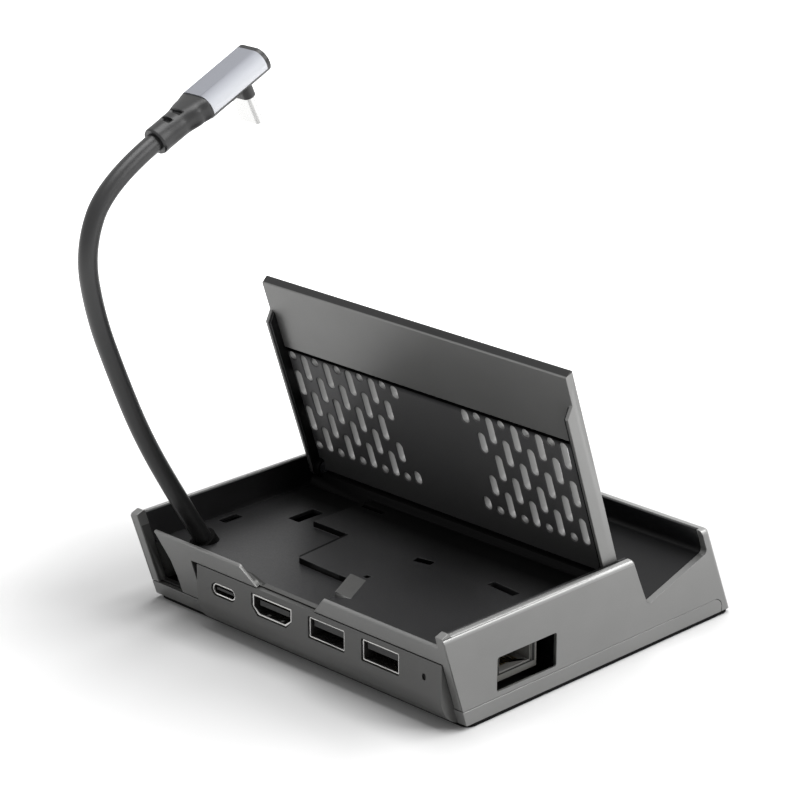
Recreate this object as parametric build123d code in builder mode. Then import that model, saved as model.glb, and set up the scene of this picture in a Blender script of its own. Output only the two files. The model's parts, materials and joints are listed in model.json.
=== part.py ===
"""Handheld console dock: ported base with tray and trough, folding stand, short lead with angled plug."""

import os
from math import acos, atan2, cos, degrees, hypot, pi, radians, sin, sqrt, tan

from build123d import *

os.makedirs("parts", exist_ok=True)

# Housing, mm
width = 119.3
base_depth = 105.0
height = 27.55
rear_lean = 18.1
front_lean = 22.0
pad_height = 1.1
skirt_top = 5.44
shell_wall = 2.0
shell_skin = 0.5
liner_wall = 0.9
cover_wall = 1.6
edge_round = 1.4
corner_round = 1.6

# Clearances
seam_gap = 0.15
liner_gap = 0.1
seat_gap = 0.05
swing_gap = 0.3
running_fit = 0.05

# Trough for the console, measured from the front foot
trough_in = 36.0
trough_z = 12.7
trough_lean = 23.8
trough_rise = 18.0
trough_round = 1.5

# Tray
floor_z = 18.6
floor_wall = 1.2
platform_step = 1.8
cheek_height = 1.4
cheek_run = 4.6

# Rear frame
post_depth = 3.0
frame_wall = 1.8
frame_drop = 3.35
frame_skin = 1.1
crease_z = 18.9
dip_mid = 0.8
dip_top_width = 32.0
dip_foot_width = 21.9
dip_z = 18.7
leg_inner_in = 21.65
leg_foot_in = 12.85
leg_top_in = 8.65

# Port housing
panel_out = 6.4
panel_in = 24.3
blend_z = 9.3
housing_top = 18.84
housing_wall = 1.2
housing_in = 1.4

# Network window in the right wall
window_in = 21.8
window_width = 22.4
window_low = 6.84
window_high = 16.4
window_skin = 0.5
jack_recess = 4.15
jack_frame = 2.3

# Hinge and stand
hinge_in = 46.8
hinge_drop = 3.45
stand_lean = 18.7
stand_up = 63.8
stand_thick = 5.4
lip_length = 9.84
lip_bevel = 1.12
flange_wall = 1.0
grille_recess = 0.5
grille_side = 0.7
grille_top = 41.4
groove_width = 0.6
groove_floor = 1.8
grille_foot = -1.2
knuckle_width = 2.2
pin_diameter = 2.4
sleeve_diameter = 3.6

# Grille slots
slot_pitch = 4.425
slot_row = 12.3
slot_length = 8.5
slot_width = 2.6
band_low = 6.3
band_high = 40.5
blank_radius = 18.1

# Sockets, places along the panel
usb_c_share = 0.2081
hdmi_share = 0.0501
usb_a_share_1 = -0.1251
usb_a_share_2 = -0.2910
lamp_in = 9.25
board_z = 11.25
board_wall = 1.6
socket_recess = 0.4

# Lead and plug
cable_diameter = 5.2
cable_in = 13.15
plug_rise = 25.0
boot_length = 16.7
boot_diameter = 7.7
plug_length = 22.2
plug_width = 11.9
plug_height = 7.3
collar_tall = 2.4
nose_length = 8.4

# Screws, posts and pad
cover_shank = 2.4
cover_head = 4.4
cover_screw_length = 9.0
cover_post = 5.5
cover_boss = 7.2
board_shank = 2.0
board_head = 3.8
board_screw_length = 5.0
board_post = 5.0
pad_inset = 0.3
pad_round = 3.0

# Derived places
rear_slope = tan(radians(rear_lean))
front_slope = tan(radians(front_lean))
depth = base_depth + height * rear_slope
front_foot = -depth / 2
rear_foot = front_foot + base_depth
half = width / 2
hinge_z = height - hinge_drop
frame_top = height - frame_drop
leg_inner = half - leg_inner_in
leg_foot_outer = half - leg_foot_in
leg_top_outer = half - leg_top_in
panel_left = half - panel_in
cable_x = half - cable_in
usb_c_x = usb_c_share * width
hdmi_x = hdmi_share * width
usb_a_x1 = usb_a_share_1 * width
usb_a_x2 = usb_a_share_2 * width
lamp_x = -half + lamp_in
window_y = rear_foot - window_in
shell_in = half - shell_wall
liner_out = shell_in - liner_gap
liner_in = liner_out - liner_wall
front_shell = shell_wall / cos(radians(front_lean))
front_liner = (shell_wall + liner_gap) / cos(radians(front_lean))
front_inner = (shell_wall + liner_gap + liner_wall) / cos(radians(front_lean))
skirt_front = front_foot + 4.5
hinge_y = front_foot + hinge_in
trough_y = front_foot + trough_in
stand_half = liner_in - swing_gap
panel_y = rear_foot + panel_out
cover_floor = pad_height + cover_wall


def across(share):
    return share * width


def inward(distance):
    return rear_foot - distance


def rear_y(z, inset=0.0):
    return rear_foot + z * rear_slope - inset / cos(radians(rear_lean))


def front_y(z):
    return front_foot + z * front_slope


def up(z):
    return z / cos(radians(rear_lean))


def meet(y0, slope, z0, rise):
    """Crossing of the steep line y = y0 + slope * z and the shallow line z = z0 + rise * y."""
    z = (z0 + rise * y0) / (1 - rise * slope)
    return y0 + slope * z, z


# Trough lines, the seat plane behind the console and the sloping floor under it
seat_slope = tan(radians(trough_lean))
sole_rise = -tan(radians(trough_rise))
seat_y0 = trough_y - seat_slope * trough_z
sole_z0 = trough_z - sole_rise * trough_y
trough_sheet = 1.5
seat_back = seat_y0 + trough_sheet / cos(radians(trough_lean))
sole_back = sole_z0 - trough_sheet / cos(radians(trough_rise))


def seat_y(z):
    return seat_y0 + seat_slope * z


trough_foot = (trough_y, trough_z)
trough_toe = meet(front_foot + front_inner, front_slope, sole_z0, sole_rise)
tray_rear = post_depth + liner_gap
frame_plane = Plane(
    origin=(0, rear_foot, 0),
    x_dir=(1, 0, 0),
    z_dir=(0, -cos(radians(rear_lean)), sin(radians(rear_lean))),
)
panel_plane = Plane(origin=(0, panel_y, 0), x_dir=(-1, 0, 0), z_dir=(0, 1, 0))

# Outer shell, side walls and front wall
with BuildPart() as outer_shell:
    with BuildSketch(Plane.YZ):
        with BuildLine():
            Polyline(
                (front_y(pad_height), pad_height),
                (front_y(height), height),
                (rear_y(height), height),
                (rear_y(pad_height), pad_height),
                close=True,
            )
        make_face()
    extrude(amount=half, both=True)
    front_corners = outer_shell.edges().filter_by(Plane.YZ).group_by(Axis.Y)[0]
    fillet(front_corners, radius=corner_round)
    top_face = outer_shell.faces().sort_by(Axis.Z)[-1]
    rear_edge = top_face.edges().sort_by(Axis.Y)[-1]
    fillet(top_face.edges() - ShapeList([rear_edge]), radius=edge_round)
    with BuildSketch(Plane.YZ):
        with BuildLine():
            Polyline(
                (front_y(-1) + front_shell, -1),
                (front_y(height + 1) + front_shell, height + 1),
                (rear_y(height + 1) + 1, height + 1),
                (rear_y(-1) + 1, -1),
                close=True,
            )
        make_face()
    extrude(amount=shell_in, both=True, mode=Mode.SUBTRACT)
    # Rebate for the end posts
    with BuildSketch(Plane.YZ):
        with BuildLine():
            Polyline(
                (rear_y(-1, tray_rear), -1),
                (rear_y(height + 1, tray_rear), height + 1),
                (rear_y(height + 1) + 1, height + 1),
                (rear_y(-1) + 1, -1),
                close=True,
            )
        make_face()
    extrude(amount=half - shell_skin, both=True, mode=Mode.SUBTRACT)
    # Console notch through both side walls
    with BuildSketch(Plane.YZ):
        with BuildLine():
            Polyline(
                (seat_y(height + 1), height + 1),
                trough_foot,
                trough_toe,
                (front_y(height + 1) + front_inner, height + 1),
                close=True,
            )
        make_face()
        fillet(vertices().sort_by(Axis.Y)[:2], radius=trough_round)
    extrude(amount=half + 1, both=True, mode=Mode.SUBTRACT)
    # Step for the skirt of the cover
    with BuildSketch(Plane.YZ):
        with BuildLine():
            Polyline(
                (skirt_front, pad_height - 1),
                (skirt_front, skirt_top),
                (rear_y(skirt_top) + 1, skirt_top),
                (rear_y(skirt_top) + 1, pad_height - 1),
                close=True,
            )
        make_face()
        fillet(vertices().group_by(Axis.Y)[-1].sort_by(Axis.X)[0], radius=2.8)
    extrude(amount=half + 1, both=True, mode=Mode.SUBTRACT)
    # Network window
    with BuildSketch(Plane.YZ.offset(-half - 1)):
        with Locations((window_y, (window_low + window_high) / 2)):
            RectangleRounded(window_width, window_high - window_low, 0.8)
    extrude(amount=shell_wall + 2, mode=Mode.SUBTRACT)
    with BuildSketch(Plane.YZ.offset(-half + window_skin)):
        with Locations((window_y, (window_low + window_high) / 2)):
            Rectangle(window_width + 2, window_high - window_low + 1.6)
    extrude(amount=shell_wall, mode=Mode.SUBTRACT)
    # Blind seats for the hinge pins
    with BuildSketch(Plane.YZ):
        with Locations((hinge_y, hinge_z)):
            Circle(pin_diameter / 2 + seat_gap)
    extrude(amount=shell_in + 1.1, both=True, mode=Mode.SUBTRACT)
outer_shell.part.label = "outer_shell"
export_step(outer_shell.part, "parts/outer_shell.step")

# Rear frame, wall with finger dip, leg, and the two end posts
post_width = half - shell_skin - seat_gap - liner_in
post_mid = liner_in + post_width / 2
with BuildPart() as rear_frame:
    with BuildSketch(frame_plane):
        with BuildLine():
            Polyline(
                (leg_inner, up(crease_z)),
                (leg_inner, up(skirt_top + seam_gap)),
                (leg_foot_outer, up(skirt_top + seam_gap)),
                (leg_foot_outer, up(frame_top * 0.45)),
                (leg_foot_outer + 0.7, up(frame_top * 0.66)),
                (leg_top_outer, up(frame_top)),
                (dip_mid + dip_top_width / 2, up(frame_top)),
                (dip_mid + dip_foot_width / 2, up(crease_z)),
                close=True,
            )
        make_face()
        with BuildLine():
            Polyline(
                (-liner_in - 0.5, up(crease_z)),
                (-liner_in - 0.5, up(frame_top)),
                (dip_mid - dip_top_width / 2, up(frame_top)),
                (dip_mid - dip_foot_width / 2, up(crease_z)),
                close=True,
            )
        make_face()
    extrude(amount=frame_wall)
    # Inner ledge that joins both halves of the wall under the dip
    with BuildSketch(frame_plane.offset(1.5)):
        with BuildLine():
            Polyline(
                (-liner_in - 0.5, up(floor_z - floor_wall)),
                (leg_top_outer - 2.5, up(floor_z - floor_wall)),
                (leg_top_outer - 2.5, up(crease_z + 1.6)),
                (dip_mid + dip_top_width / 2 - 1, up(crease_z + 1.6)),
                (dip_mid + dip_foot_width / 2, up(dip_z)),
                (dip_mid - dip_foot_width / 2, up(dip_z)),
                (dip_mid - dip_top_width / 2 + 1, up(crease_z + 1.6)),
                (-liner_in - 0.5, up(crease_z + 1.6)),
                close=True,
            )
        make_face()
    extrude(amount=post_depth - 1.5)
    # End posts
    with BuildSketch(frame_plane):
        with Locations((post_mid, 0), (-post_mid, 0)):
            with Locations((0, up((height + skirt_top + seam_gap) / 2))):
                Rectangle(post_width, up(height - skirt_top - seam_gap))
    extrude(amount=post_depth)
    # Rail behind the skirt from the leg to the left post
    with BuildSketch(frame_plane.offset(cover_wall + seam_gap)):
        with BuildLine():
            Polyline(
                (leg_inner, up(cover_floor + seam_gap)),
                (post_mid, up(cover_floor + seam_gap)),
                (post_mid, up(skirt_top + 0.8)),
                (liner_in, up(skirt_top + 0.8)),
                (liner_in, up(skirt_top - 0.1)),
                (leg_foot_outer, up(skirt_top - 0.1)),
                (leg_foot_outer, up(skirt_top + 2)),
                (leg_inner, up(skirt_top + 2)),
                close=True,
            )
        make_face()
    extrude(amount=post_depth - cover_wall - seam_gap)
    with BuildSketch(frame_plane.offset(frame_skin)):
        with BuildLine():
            Polyline(
                (-liner_in + 0.6, up(crease_z + 1.6)),
                (leg_top_outer + 1, up(crease_z + 1.6)),
                (leg_top_outer + 1, up(frame_top + 1)),
                (-liner_in + 0.6, up(frame_top + 1)),
                close=True,
            )
        make_face()
    extrude(amount=frame_wall, mode=Mode.SUBTRACT)
    top_line = rear_frame.edges().filter_by(Axis.X).filter_by(
        lambda e: abs(e.center().Z - frame_top) < 0.01 and e.length > 10
    )
    fillet(top_line, radius=0.4)
    post_tops = rear_frame.edges().filter_by(Axis.X).group_by(Axis.Z)[-1]
    fillet(post_tops, radius=0.7)
rear_frame.part.label = "rear_frame"
export_step(rear_frame.part, "parts/rear_frame.step")

# Tray, hinge bed and trough in one black moulding
crest_z = hinge_z + 0.9
bed_z = hinge_z - 1.55
bed_back = stand_thick / 2 + swing_gap
toe_back = meet(front_foot + front_liner, front_slope, sole_back, sole_rise)
foot_back = meet(seat_back, seat_slope, sole_back, sole_rise)
under_z = floor_z - floor_wall
cover_screw_places = [
    (half - 9.5, front_foot + 24.0),
    (-half + 9.5, front_foot + 24.0),
    (half - 8.2, inward(42.0)),
    (-half + 8.2, inward(42.0)),
]
cover_post_z = cover_floor + 1.8
gland_y = rear_foot - 5.8
gland_z = floor_z + 1.0
gland_rise = 58.5
gland_dir = (0, cos(radians(gland_rise)), sin(radians(gland_rise)))
gland_plane = Plane(origin=(cable_x, gland_y, gland_z), x_dir=(1, 0, 0), z_dir=gland_dir)
gland_diameter = 7.2
with BuildPart() as tray:
    with BuildSketch(Plane.YZ):
        with BuildLine():
            Polyline(
                (rear_y(floor_z, tray_rear), floor_z),
                (hinge_y + 2.4, floor_z),
                (hinge_y + 0.9, bed_z),
                (hinge_y - 1.6, bed_z),
                (hinge_y - bed_back, hinge_z - 0.6),
                (hinge_y - bed_back, crest_z),
                (seat_y(crest_z), crest_z),
                trough_foot,
                trough_toe,
                (front_y(height) + front_inner, height),
                (front_y(height) + front_liner, height),
                toe_back,
                foot_back,
                (seat_back + seat_slope * (bed_z - 1.6), bed_z - 1.6),
                (hinge_y - 0.2, bed_z - 1.6),
                (hinge_y + 1.1, under_z),
                (rear_y(under_z, tray_rear), under_z),
                close=True,
            )
        make_face()
        trough_corners = vertices().filter_by(
            lambda v: hypot(v.X - trough_y, v.Y - trough_z) < 0.01
            or hypot(v.X - trough_toe[0], v.Y - trough_toe[1]) < 0.01
        )
        fillet(trough_corners, radius=trough_round)
    extrude(amount=liner_out, both=True)
    # Side liners beside the tray
    with BuildSketch(Plane.YZ.offset(liner_in)):
        with BuildLine():
            Polyline(
                (seat_y(crest_z - 1), crest_z - 1),
                (seat_y(height), height),
                (rear_y(height, tray_rear), height),
                (rear_y(under_z, tray_rear), under_z),
                (hinge_y - 1.0, under_z),
                close=True,
            )
        make_face()
    side_liner = extrude(amount=liner_wall)
    mirror(side_liner, about=Plane.YZ)
    # Hinge knuckle room at both ends of the bed
    with BuildSketch(Plane.YZ):
        with Locations((hinge_y, hinge_z)):
            Circle(stand_thick / 2 + swing_gap)
    knuckle_room = extrude(amount=liner_in, both=True, mode=Mode.PRIVATE)
    with BuildSketch(Plane.YZ):
        with Locations((hinge_y, hinge_z)):
            Rectangle(20, 20)
    bed_keep = extrude(
        amount=stand_half - flange_wall - knuckle_width - swing_gap, both=True, mode=Mode.PRIVATE
    )
    add(knuckle_room - bed_keep, mode=Mode.SUBTRACT)
    # Raised part of the floor, with the lower part left for the lead and the finger dip
    rear_line = rear_y(floor_z, tray_rear)
    cheek_start = (across(-0.032), inward(13.2))
    cheek_end = (across(-0.08), inward(2.0))
    with BuildSketch(Plane.XY.offset(floor_z - 0.2)):
        with BuildLine():
            Polyline(
                (-liner_in - 0.2, hinge_y + 1.7),
                (across(0.272), hinge_y + 1.7),
                (across(0.272), inward(34.1)),
                (across(0.161), inward(34.2)),
                (across(0.143), inward(13.6)),
                (across(0.001), inward(13.0)),
                cheek_start,
                cheek_end,
                (cheek_end[0], rear_line),
                (-liner_in - 0.2, rear_line),
                close=True,
            )
        make_face()
        step_corner = vertices().sort_by_distance((across(0.143), inward(13.6), 0))[0]
        fillet(step_corner, radius=1.5)
    extrude(amount=platform_step + 0.2)
    # Sloping cheek beside the finger dip
    cheek_length = hypot(cheek_end[0] - cheek_start[0], cheek_end[1] - cheek_start[1])
    cheek_along = Vector(cheek_end[0] - cheek_start[0], cheek_end[1] - cheek_start[1], 0).normalized()
    cheek_plane = Plane(
        origin=(cheek_start[0], cheek_start[1], floor_z + platform_step),
        x_dir=(-cheek_along.Y, cheek_along.X, 0),
        z_dir=cheek_along,
    )
    with BuildSketch(cheek_plane):
        with BuildLine():
            Polyline((0, -0.3), (0, cheek_height), (0.5, cheek_height), (cheek_run, 0), (cheek_run, -0.3), close=True)
        make_face()
    extrude(amount=cheek_length)
    # Openings in the floor
    with BuildSketch(Plane.XY.offset(floor_z + platform_step + 0.1)):
        with Locations((half - 19.6, inward(38.5))):
            Rectangle(4.2, 9.6)
        with Locations((half - 6.2, inward(22.2))):
            Rectangle(3.0, 6.5)
        with Locations((across(-0.31), inward(37.0))):
            Rectangle(10.0, 2.6, rotation=-5)
        with Locations((across(-0.078), inward(35.5))):
            Rectangle(5.4, 2.6, rotation=12)
        with Locations((across(-0.05), inward(17.4))):
            Rectangle(1.6, 1.6)
        with Locations((across(0.225), hinge_y + 6.2)):
            Rectangle(8.0, 1.8)
    extrude(amount=-floor_wall - platform_step - 0.2, mode=Mode.SUBTRACT)
    # Passage for the lead
    with BuildSketch(gland_plane.offset(-8)):
        Circle(gland_diameter / 2 + liner_gap)
    extrude(amount=12, mode=Mode.SUBTRACT)
    # Screw posts under the tray
    with BuildSketch(Plane.XY.offset(cover_post_z)):
        with Locations(*cover_screw_places):
            Rectangle(cover_post, cover_post)
    extrude(until=Until.NEXT)
    with BuildSketch(Plane.XY.offset(cover_post_z)):
        with Locations(*cover_screw_places):
            RegularPolygon(cover_shank / 2 + seat_gap, 8)
    extrude(amount=7.0, mode=Mode.SUBTRACT)
    # Pin holes
    with BuildSketch(Plane.YZ):
        with Locations((hinge_y, hinge_z)):
            Circle(pin_diameter / 2 + seat_gap)
    extrude(amount=half, both=True, mode=Mode.SUBTRACT)
tray.part.label = "tray"
export_step(tray.part, "parts/tray.step")

# Bottom cover with skirt and port housing
skirt_z = skirt_top - seam_gap
panel_right = liner_in - seam_gap
blend_rise = blend_z - pad_height
blend_in = panel_y - rear_y(pad_height)
blend_radius = (blend_in**2 + blend_rise**2) / (2 * blend_in)
blend_mid_angle = -0.5 * acos((blend_radius - blend_in) / blend_radius)
blend_y = panel_y - blend_radius
usb_a_size = (13.1, 5.7, 14.0)
hdmi_size = (15.0, 5.5, 11.5)
usb_c_size = (8.94, 3.26, 8.6)
usb_a_z = board_z + usb_a_size[1] / 2
hdmi_z = board_z + hdmi_size[1] / 2
usb_c_lift = 0.8
usb_c_z = board_z + usb_c_lift + usb_c_size[1] / 2
lamp_z = board_z + 2.55
cut_out = 0.3
board_front = hinge_y + 4.0
board_rear = rear_y(board_z - board_wall, frame_wall) - 0.5
board_side = half - 12.6
board_step = board_rear - 12.0
board_screw_places = [
    (board_side - 6.0, board_front + 4.2),
    (-board_side + 6.0, board_front + 4.2),
    (board_side - 6.0, board_step - 4.2),
    (lamp_x + 1.2, board_rear - 7.0),
]


def hdmi_outline(inset):
    w = hdmi_size[0] / 2 - inset
    h = hdmi_size[1] / 2 - inset
    return [(-w, h), (w, h), (w, -0.75), (w - 2.2, -h), (-w + 2.2, -h), (-w, -0.75)]


def blend_outline(inset):
    """Outer or inner line of the port housing from its foot to its top."""
    radius = blend_radius - inset
    foot_z = pad_height + inset
    turn = acos(max(-1.0, min(1.0, (blend_z - foot_z) / radius)))
    foot = (blend_y + radius * sin(turn), foot_z)
    mid = (blend_y + radius * cos((pi / 2 - turn) / 2), blend_z - radius * sin((pi / 2 - turn) / 2))
    return foot, mid, (panel_y - inset, blend_z), (panel_y - inset, housing_top + inset)


with BuildPart() as bottom_cover:
    with BuildSketch(Plane.YZ):
        with BuildLine():
            Polyline(
                (skirt_front + seam_gap, pad_height),
                (skirt_front + seam_gap, skirt_z),
                (rear_y(skirt_z), skirt_z),
                (rear_y(pad_height), pad_height),
                close=True,
            )
        make_face()
        fillet(vertices().group_by(Axis.Y)[-1].sort_by(Axis.X)[0], radius=2.8)
    extrude(amount=half, both=True)
    # Port housing
    foot, mid, shoulder, crown = blend_outline(0)
    with BuildSketch(Plane.YZ.offset(-panel_right)):
        with BuildLine():
            Line((rear_y(pad_height, housing_in), pad_height), foot)
            ThreePointArc(foot, mid, shoulder)
            Polyline(
                shoulder,
                crown,
                (rear_y(crown[1], housing_in), crown[1]),
                (rear_y(pad_height, housing_in), pad_height),
            )
        make_face()
    extrude(amount=panel_right + panel_left)
    # Hollow of the skirt
    with BuildSketch(Plane.YZ):
        with BuildLine():
            Polyline(
                (skirt_front - 1, cover_floor),
                (skirt_front - 1, skirt_top + 1),
                (rear_y(skirt_top + 1, cover_wall), skirt_top + 1),
                (rear_y(cover_floor, cover_wall), cover_floor),
                close=True,
            )
        make_face()
    extrude(amount=half - cover_wall, both=True, mode=Mode.SUBTRACT)
    # Hollow of the port housing
    foot, mid, shoulder, crown = blend_outline(cover_wall)
    with BuildSketch(Plane.YZ.offset(-panel_right + housing_wall)):
        with BuildLine():
            Line((rear_y(cover_floor, frame_wall + 2), cover_floor), foot)
            ThreePointArc(foot, mid, shoulder)
            Polyline(
                shoulder,
                crown,
                (rear_y(crown[1], frame_wall + 2), crown[1]),
                (rear_y(cover_floor, frame_wall + 2), cover_floor),
            )
        make_face()
    extrude(amount=panel_right + panel_left - 2 * housing_wall, mode=Mode.SUBTRACT)
    # Floor under the front of the shell
    with BuildSketch(Plane.YZ):
        with BuildLine():
            Polyline(
                (front_y(pad_height) + front_shell + seam_gap, pad_height),
                (front_y(cover_floor) + front_shell + seam_gap, cover_floor),
                (skirt_front + 4, cover_floor),
                (skirt_front + 4, pad_height),
                close=True,
            )
        make_face()
    extrude(amount=shell_in - seam_gap, both=True)
    # Port cut-outs
    with BuildSketch(panel_plane):
        with Locations((-usb_a_x1, usb_a_z), (-usb_a_x2, usb_a_z)):
            RectangleRounded(usb_a_size[0] + 2 * cut_out, usb_a_size[1] + 2 * cut_out, 0.5)
        with Locations((-usb_c_x, usb_c_z)):
            SlotOverall(usb_c_size[0] + 2 * cut_out, usb_c_size[1] + 2 * cut_out)
        with Locations((-hdmi_x, hdmi_z)):
            Polygon(*hdmi_outline(-cut_out), align=None)
        with Locations((-lamp_x, lamp_z)):
            SlotOverall(1.9, 1.3, rotation=90)
    extrude(amount=-cover_wall - 0.5, mode=Mode.SUBTRACT)
    # Stand-offs for the board and bosses for the cover screws
    with BuildSketch(Plane.XY.offset(cover_floor - 0.2)):
        with Locations(*board_screw_places):
            Rectangle(board_post, board_post)
    extrude(amount=board_z - board_wall - cover_floor + 0.2)
    with BuildSketch(Plane.XY.offset(cover_floor - 0.2)):
        with Locations(*cover_screw_places):
            Rectangle(cover_boss, cover_boss)
    extrude(amount=cover_post_z - cover_floor + 0.2 - seat_gap)
    with BuildSketch(Plane.XY.offset(board_z - board_wall)):
        with Locations(*board_screw_places):
            RegularPolygon(board_shank / 2 + seat_gap, 8)
    extrude(amount=-board_screw_length, mode=Mode.SUBTRACT)
    with BuildSketch(Plane.XY.offset(pad_height)):
        with Locations(*cover_screw_places):
            RegularPolygon(cover_shank / 2 + seat_gap, 8)
    extrude(amount=cover_post_z, mode=Mode.SUBTRACT)
    with BuildSketch(Plane.XY.offset(pad_height)):
        with Locations(*cover_screw_places):
            RegularPolygon(cover_head / 2 + seat_gap, 8)
    extrude(amount=cover_wall, mode=Mode.SUBTRACT)
bottom_cover.part.label = "bottom_cover"
export_step(bottom_cover.part, "parts/bottom_cover.step")

# Pad under the base
with BuildPart() as base_pad:
    with BuildSketch(Plane.XY):
        with Locations((0, (front_foot + rear_foot) / 2)):
            RectangleRounded(width - 2 * pad_inset, base_depth - 2 * pad_inset, pad_round)
    extrude(amount=pad_height)
base_pad.part.label = "base_pad"
export_step(base_pad.part, "parts/base_pad.step")

# Screws that hold the cover to the tray posts
with BuildPart() as cover_screws:
    with BuildSketch(Plane.XY.offset(pad_height + 0.2)):
        with Locations(*cover_screw_places):
            RegularPolygon(cover_head / 2, 8)
    extrude(amount=cover_wall - 0.2)
    with BuildSketch(Plane.XY.offset(pad_height + 0.2)):
        with Locations(*cover_screw_places):
            RegularPolygon(cover_shank / 2, 8)
    extrude(amount=cover_screw_length)
cover_screws.part.label = "cover_screws"
export_step(cover_screws.part, "parts/cover_screws.step")

# Main board
jack_width = 16.0
jack_low = window_low
jack_high = under_z - 0.2
jack_length = 14.0
jack_face = -half + jack_recess
jack_rear = jack_face + jack_length
jack_y = window_y
with BuildPart() as main_board:
    with BuildSketch(Plane.XY.offset(board_z - board_wall)):
        with BuildLine():
            Polyline(
                (board_side, board_front),
                (board_side, board_step),
                (panel_left - housing_wall - 2, board_step),
                (panel_left - housing_wall - 2, board_rear),
                (lamp_x - 3.2, board_rear),
                (lamp_x - 3.2, jack_y + jack_width / 2 + 0.3),
                (jack_rear + 0.3, jack_y + jack_width / 2 + 0.3),
                (jack_rear + 0.3, jack_y - jack_width / 2 - 0.3),
                (-board_side, jack_y - jack_width / 2 - 0.3),
                (-board_side, board_front),
                close=True,
            )
        make_face()
        with Locations(*board_screw_places):
            RegularPolygon(board_shank / 2 + seat_gap, 8, mode=Mode.SUBTRACT)
    extrude(amount=board_wall)
main_board.part.label = "main_board"
export_step(main_board.part, "parts/main_board.step")

# Screws that hold the board
with BuildPart() as board_screws:
    with BuildSketch(Plane.XY.offset(board_z)):
        with Locations(*board_screw_places):
            RegularPolygon(board_head / 2, 8)
    extrude(amount=board_head / 3)
    with BuildSketch(Plane.XY.offset(board_z)):
        with Locations(*board_screw_places):
            RegularPolygon(board_shank / 2, 8)
    extrude(amount=-board_screw_length)
board_screws.part.label = "board_screws"
export_step(board_screws.part, "parts/board_screws.step")

# Two wide sockets
socket_plane = panel_plane.offset(-socket_recess)
for number, socket_x in ((1, usb_a_x1), (2, usb_a_x2)):
    with BuildPart() as usb_a_shell:
        with BuildSketch(socket_plane):
            with Locations((-socket_x, usb_a_z)):
                RectangleRounded(usb_a_size[0], usb_a_size[1], 0.4)
        extrude(amount=-usb_a_size[2])
        with BuildSketch(socket_plane):
            with Locations((-socket_x, usb_a_z)):
                Rectangle(usb_a_size[0] - 0.6, usb_a_size[1] - 0.6)
        extrude(amount=-usb_a_size[2] + 1.0, mode=Mode.SUBTRACT)
    usb_a_shell.part.label = f"usb_a_shell_{number}"
    export_step(usb_a_shell.part, f"parts/usb_a_shell_{number}.step")
    with BuildPart() as usb_a_tongue:
        with BuildSketch(socket_plane.offset(-usb_a_size[2] + 1.0)):
            with Locations((-socket_x, usb_a_z)):
                Rectangle(usb_a_size[0] - 0.8, usb_a_size[1] - 0.8)
        extrude(amount=2.0)
        with BuildSketch(socket_plane.offset(-usb_a_size[2] + 1.0)):
            with Locations((-socket_x, usb_a_z + 1.2)):
                Rectangle(11.1, 1.84)
        extrude(amount=usb_a_size[2] - 1.8)
    usb_a_tongue.part.label = f"usb_a_tongue_{number}"
    export_step(usb_a_tongue.part, f"parts/usb_a_tongue_{number}.step")


# Video socket
with BuildPart() as hdmi_shell:
    with BuildSketch(socket_plane):
        with Locations((-hdmi_x, hdmi_z)):
            Polygon(*hdmi_outline(0), align=None)
    extrude(amount=-hdmi_size[2])
    with BuildSketch(socket_plane):
        with Locations((-hdmi_x, hdmi_z)):
            Polygon(*hdmi_outline(0.4), align=None)
    extrude(amount=-hdmi_size[2] + 1.0, mode=Mode.SUBTRACT)
hdmi_shell.part.label = "hdmi_shell"
export_step(hdmi_shell.part, "parts/hdmi_shell.step")

with BuildPart() as hdmi_tongue:
    with BuildSketch(socket_plane.offset(-hdmi_size[2] + 1.0)):
        with Locations((-hdmi_x, hdmi_z)):
            Polygon(*hdmi_outline(0.5), align=None)
    extrude(amount=1.5)
    with BuildSketch(socket_plane.offset(-hdmi_size[2] + 1.0)):
        with Locations((-hdmi_x, hdmi_z + 0.4)):
            Rectangle(11.4, 1.5)
    extrude(amount=hdmi_size[2] - 2.0)
hdmi_tongue.part.label = "hdmi_tongue"
export_step(hdmi_tongue.part, "parts/hdmi_tongue.step")

# Small oval socket
with BuildPart() as usb_c_shell:
    with BuildSketch(socket_plane):
        with Locations((-usb_c_x, usb_c_z)):
            SlotOverall(usb_c_size[0], usb_c_size[1])
    extrude(amount=-usb_c_size[2])
    with BuildSketch(socket_plane):
        with Locations((-usb_c_x, usb_c_z)):
            SlotOverall(usb_c_size[0] - 0.7, usb_c_size[1] - 0.7)
    extrude(amount=-usb_c_size[2] + 0.8, mode=Mode.SUBTRACT)
    with BuildSketch(socket_plane.offset(-5.5)):
        with Locations((-usb_c_x, board_z + usb_c_lift / 2 + 0.1)):
            with GridLocations(6.4, 1, 2, 1):
                Rectangle(1.2, usb_c_lift + 0.2)
    extrude(amount=-2.5)
usb_c_shell.part.label = "usb_c_shell"
export_step(usb_c_shell.part, "parts/usb_c_shell.step")

with BuildPart() as usb_c_tongue:
    with BuildSketch(socket_plane.offset(-usb_c_size[2] + 0.8)):
        with Locations((-usb_c_x, usb_c_z)):
            SlotOverall(usb_c_size[0] - 0.9, usb_c_size[1] - 0.9)
    extrude(amount=1.2)
    with BuildSketch(socket_plane.offset(-usb_c_size[2] + 0.8)):
        with Locations((-usb_c_x, usb_c_z)):
            Rectangle(6.7, 0.7)
    extrude(amount=usb_c_size[2] - 1.3)
usb_c_tongue.part.label = "usb_c_tongue"
export_step(usb_c_tongue.part, "parts/usb_c_tongue.step")

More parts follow.
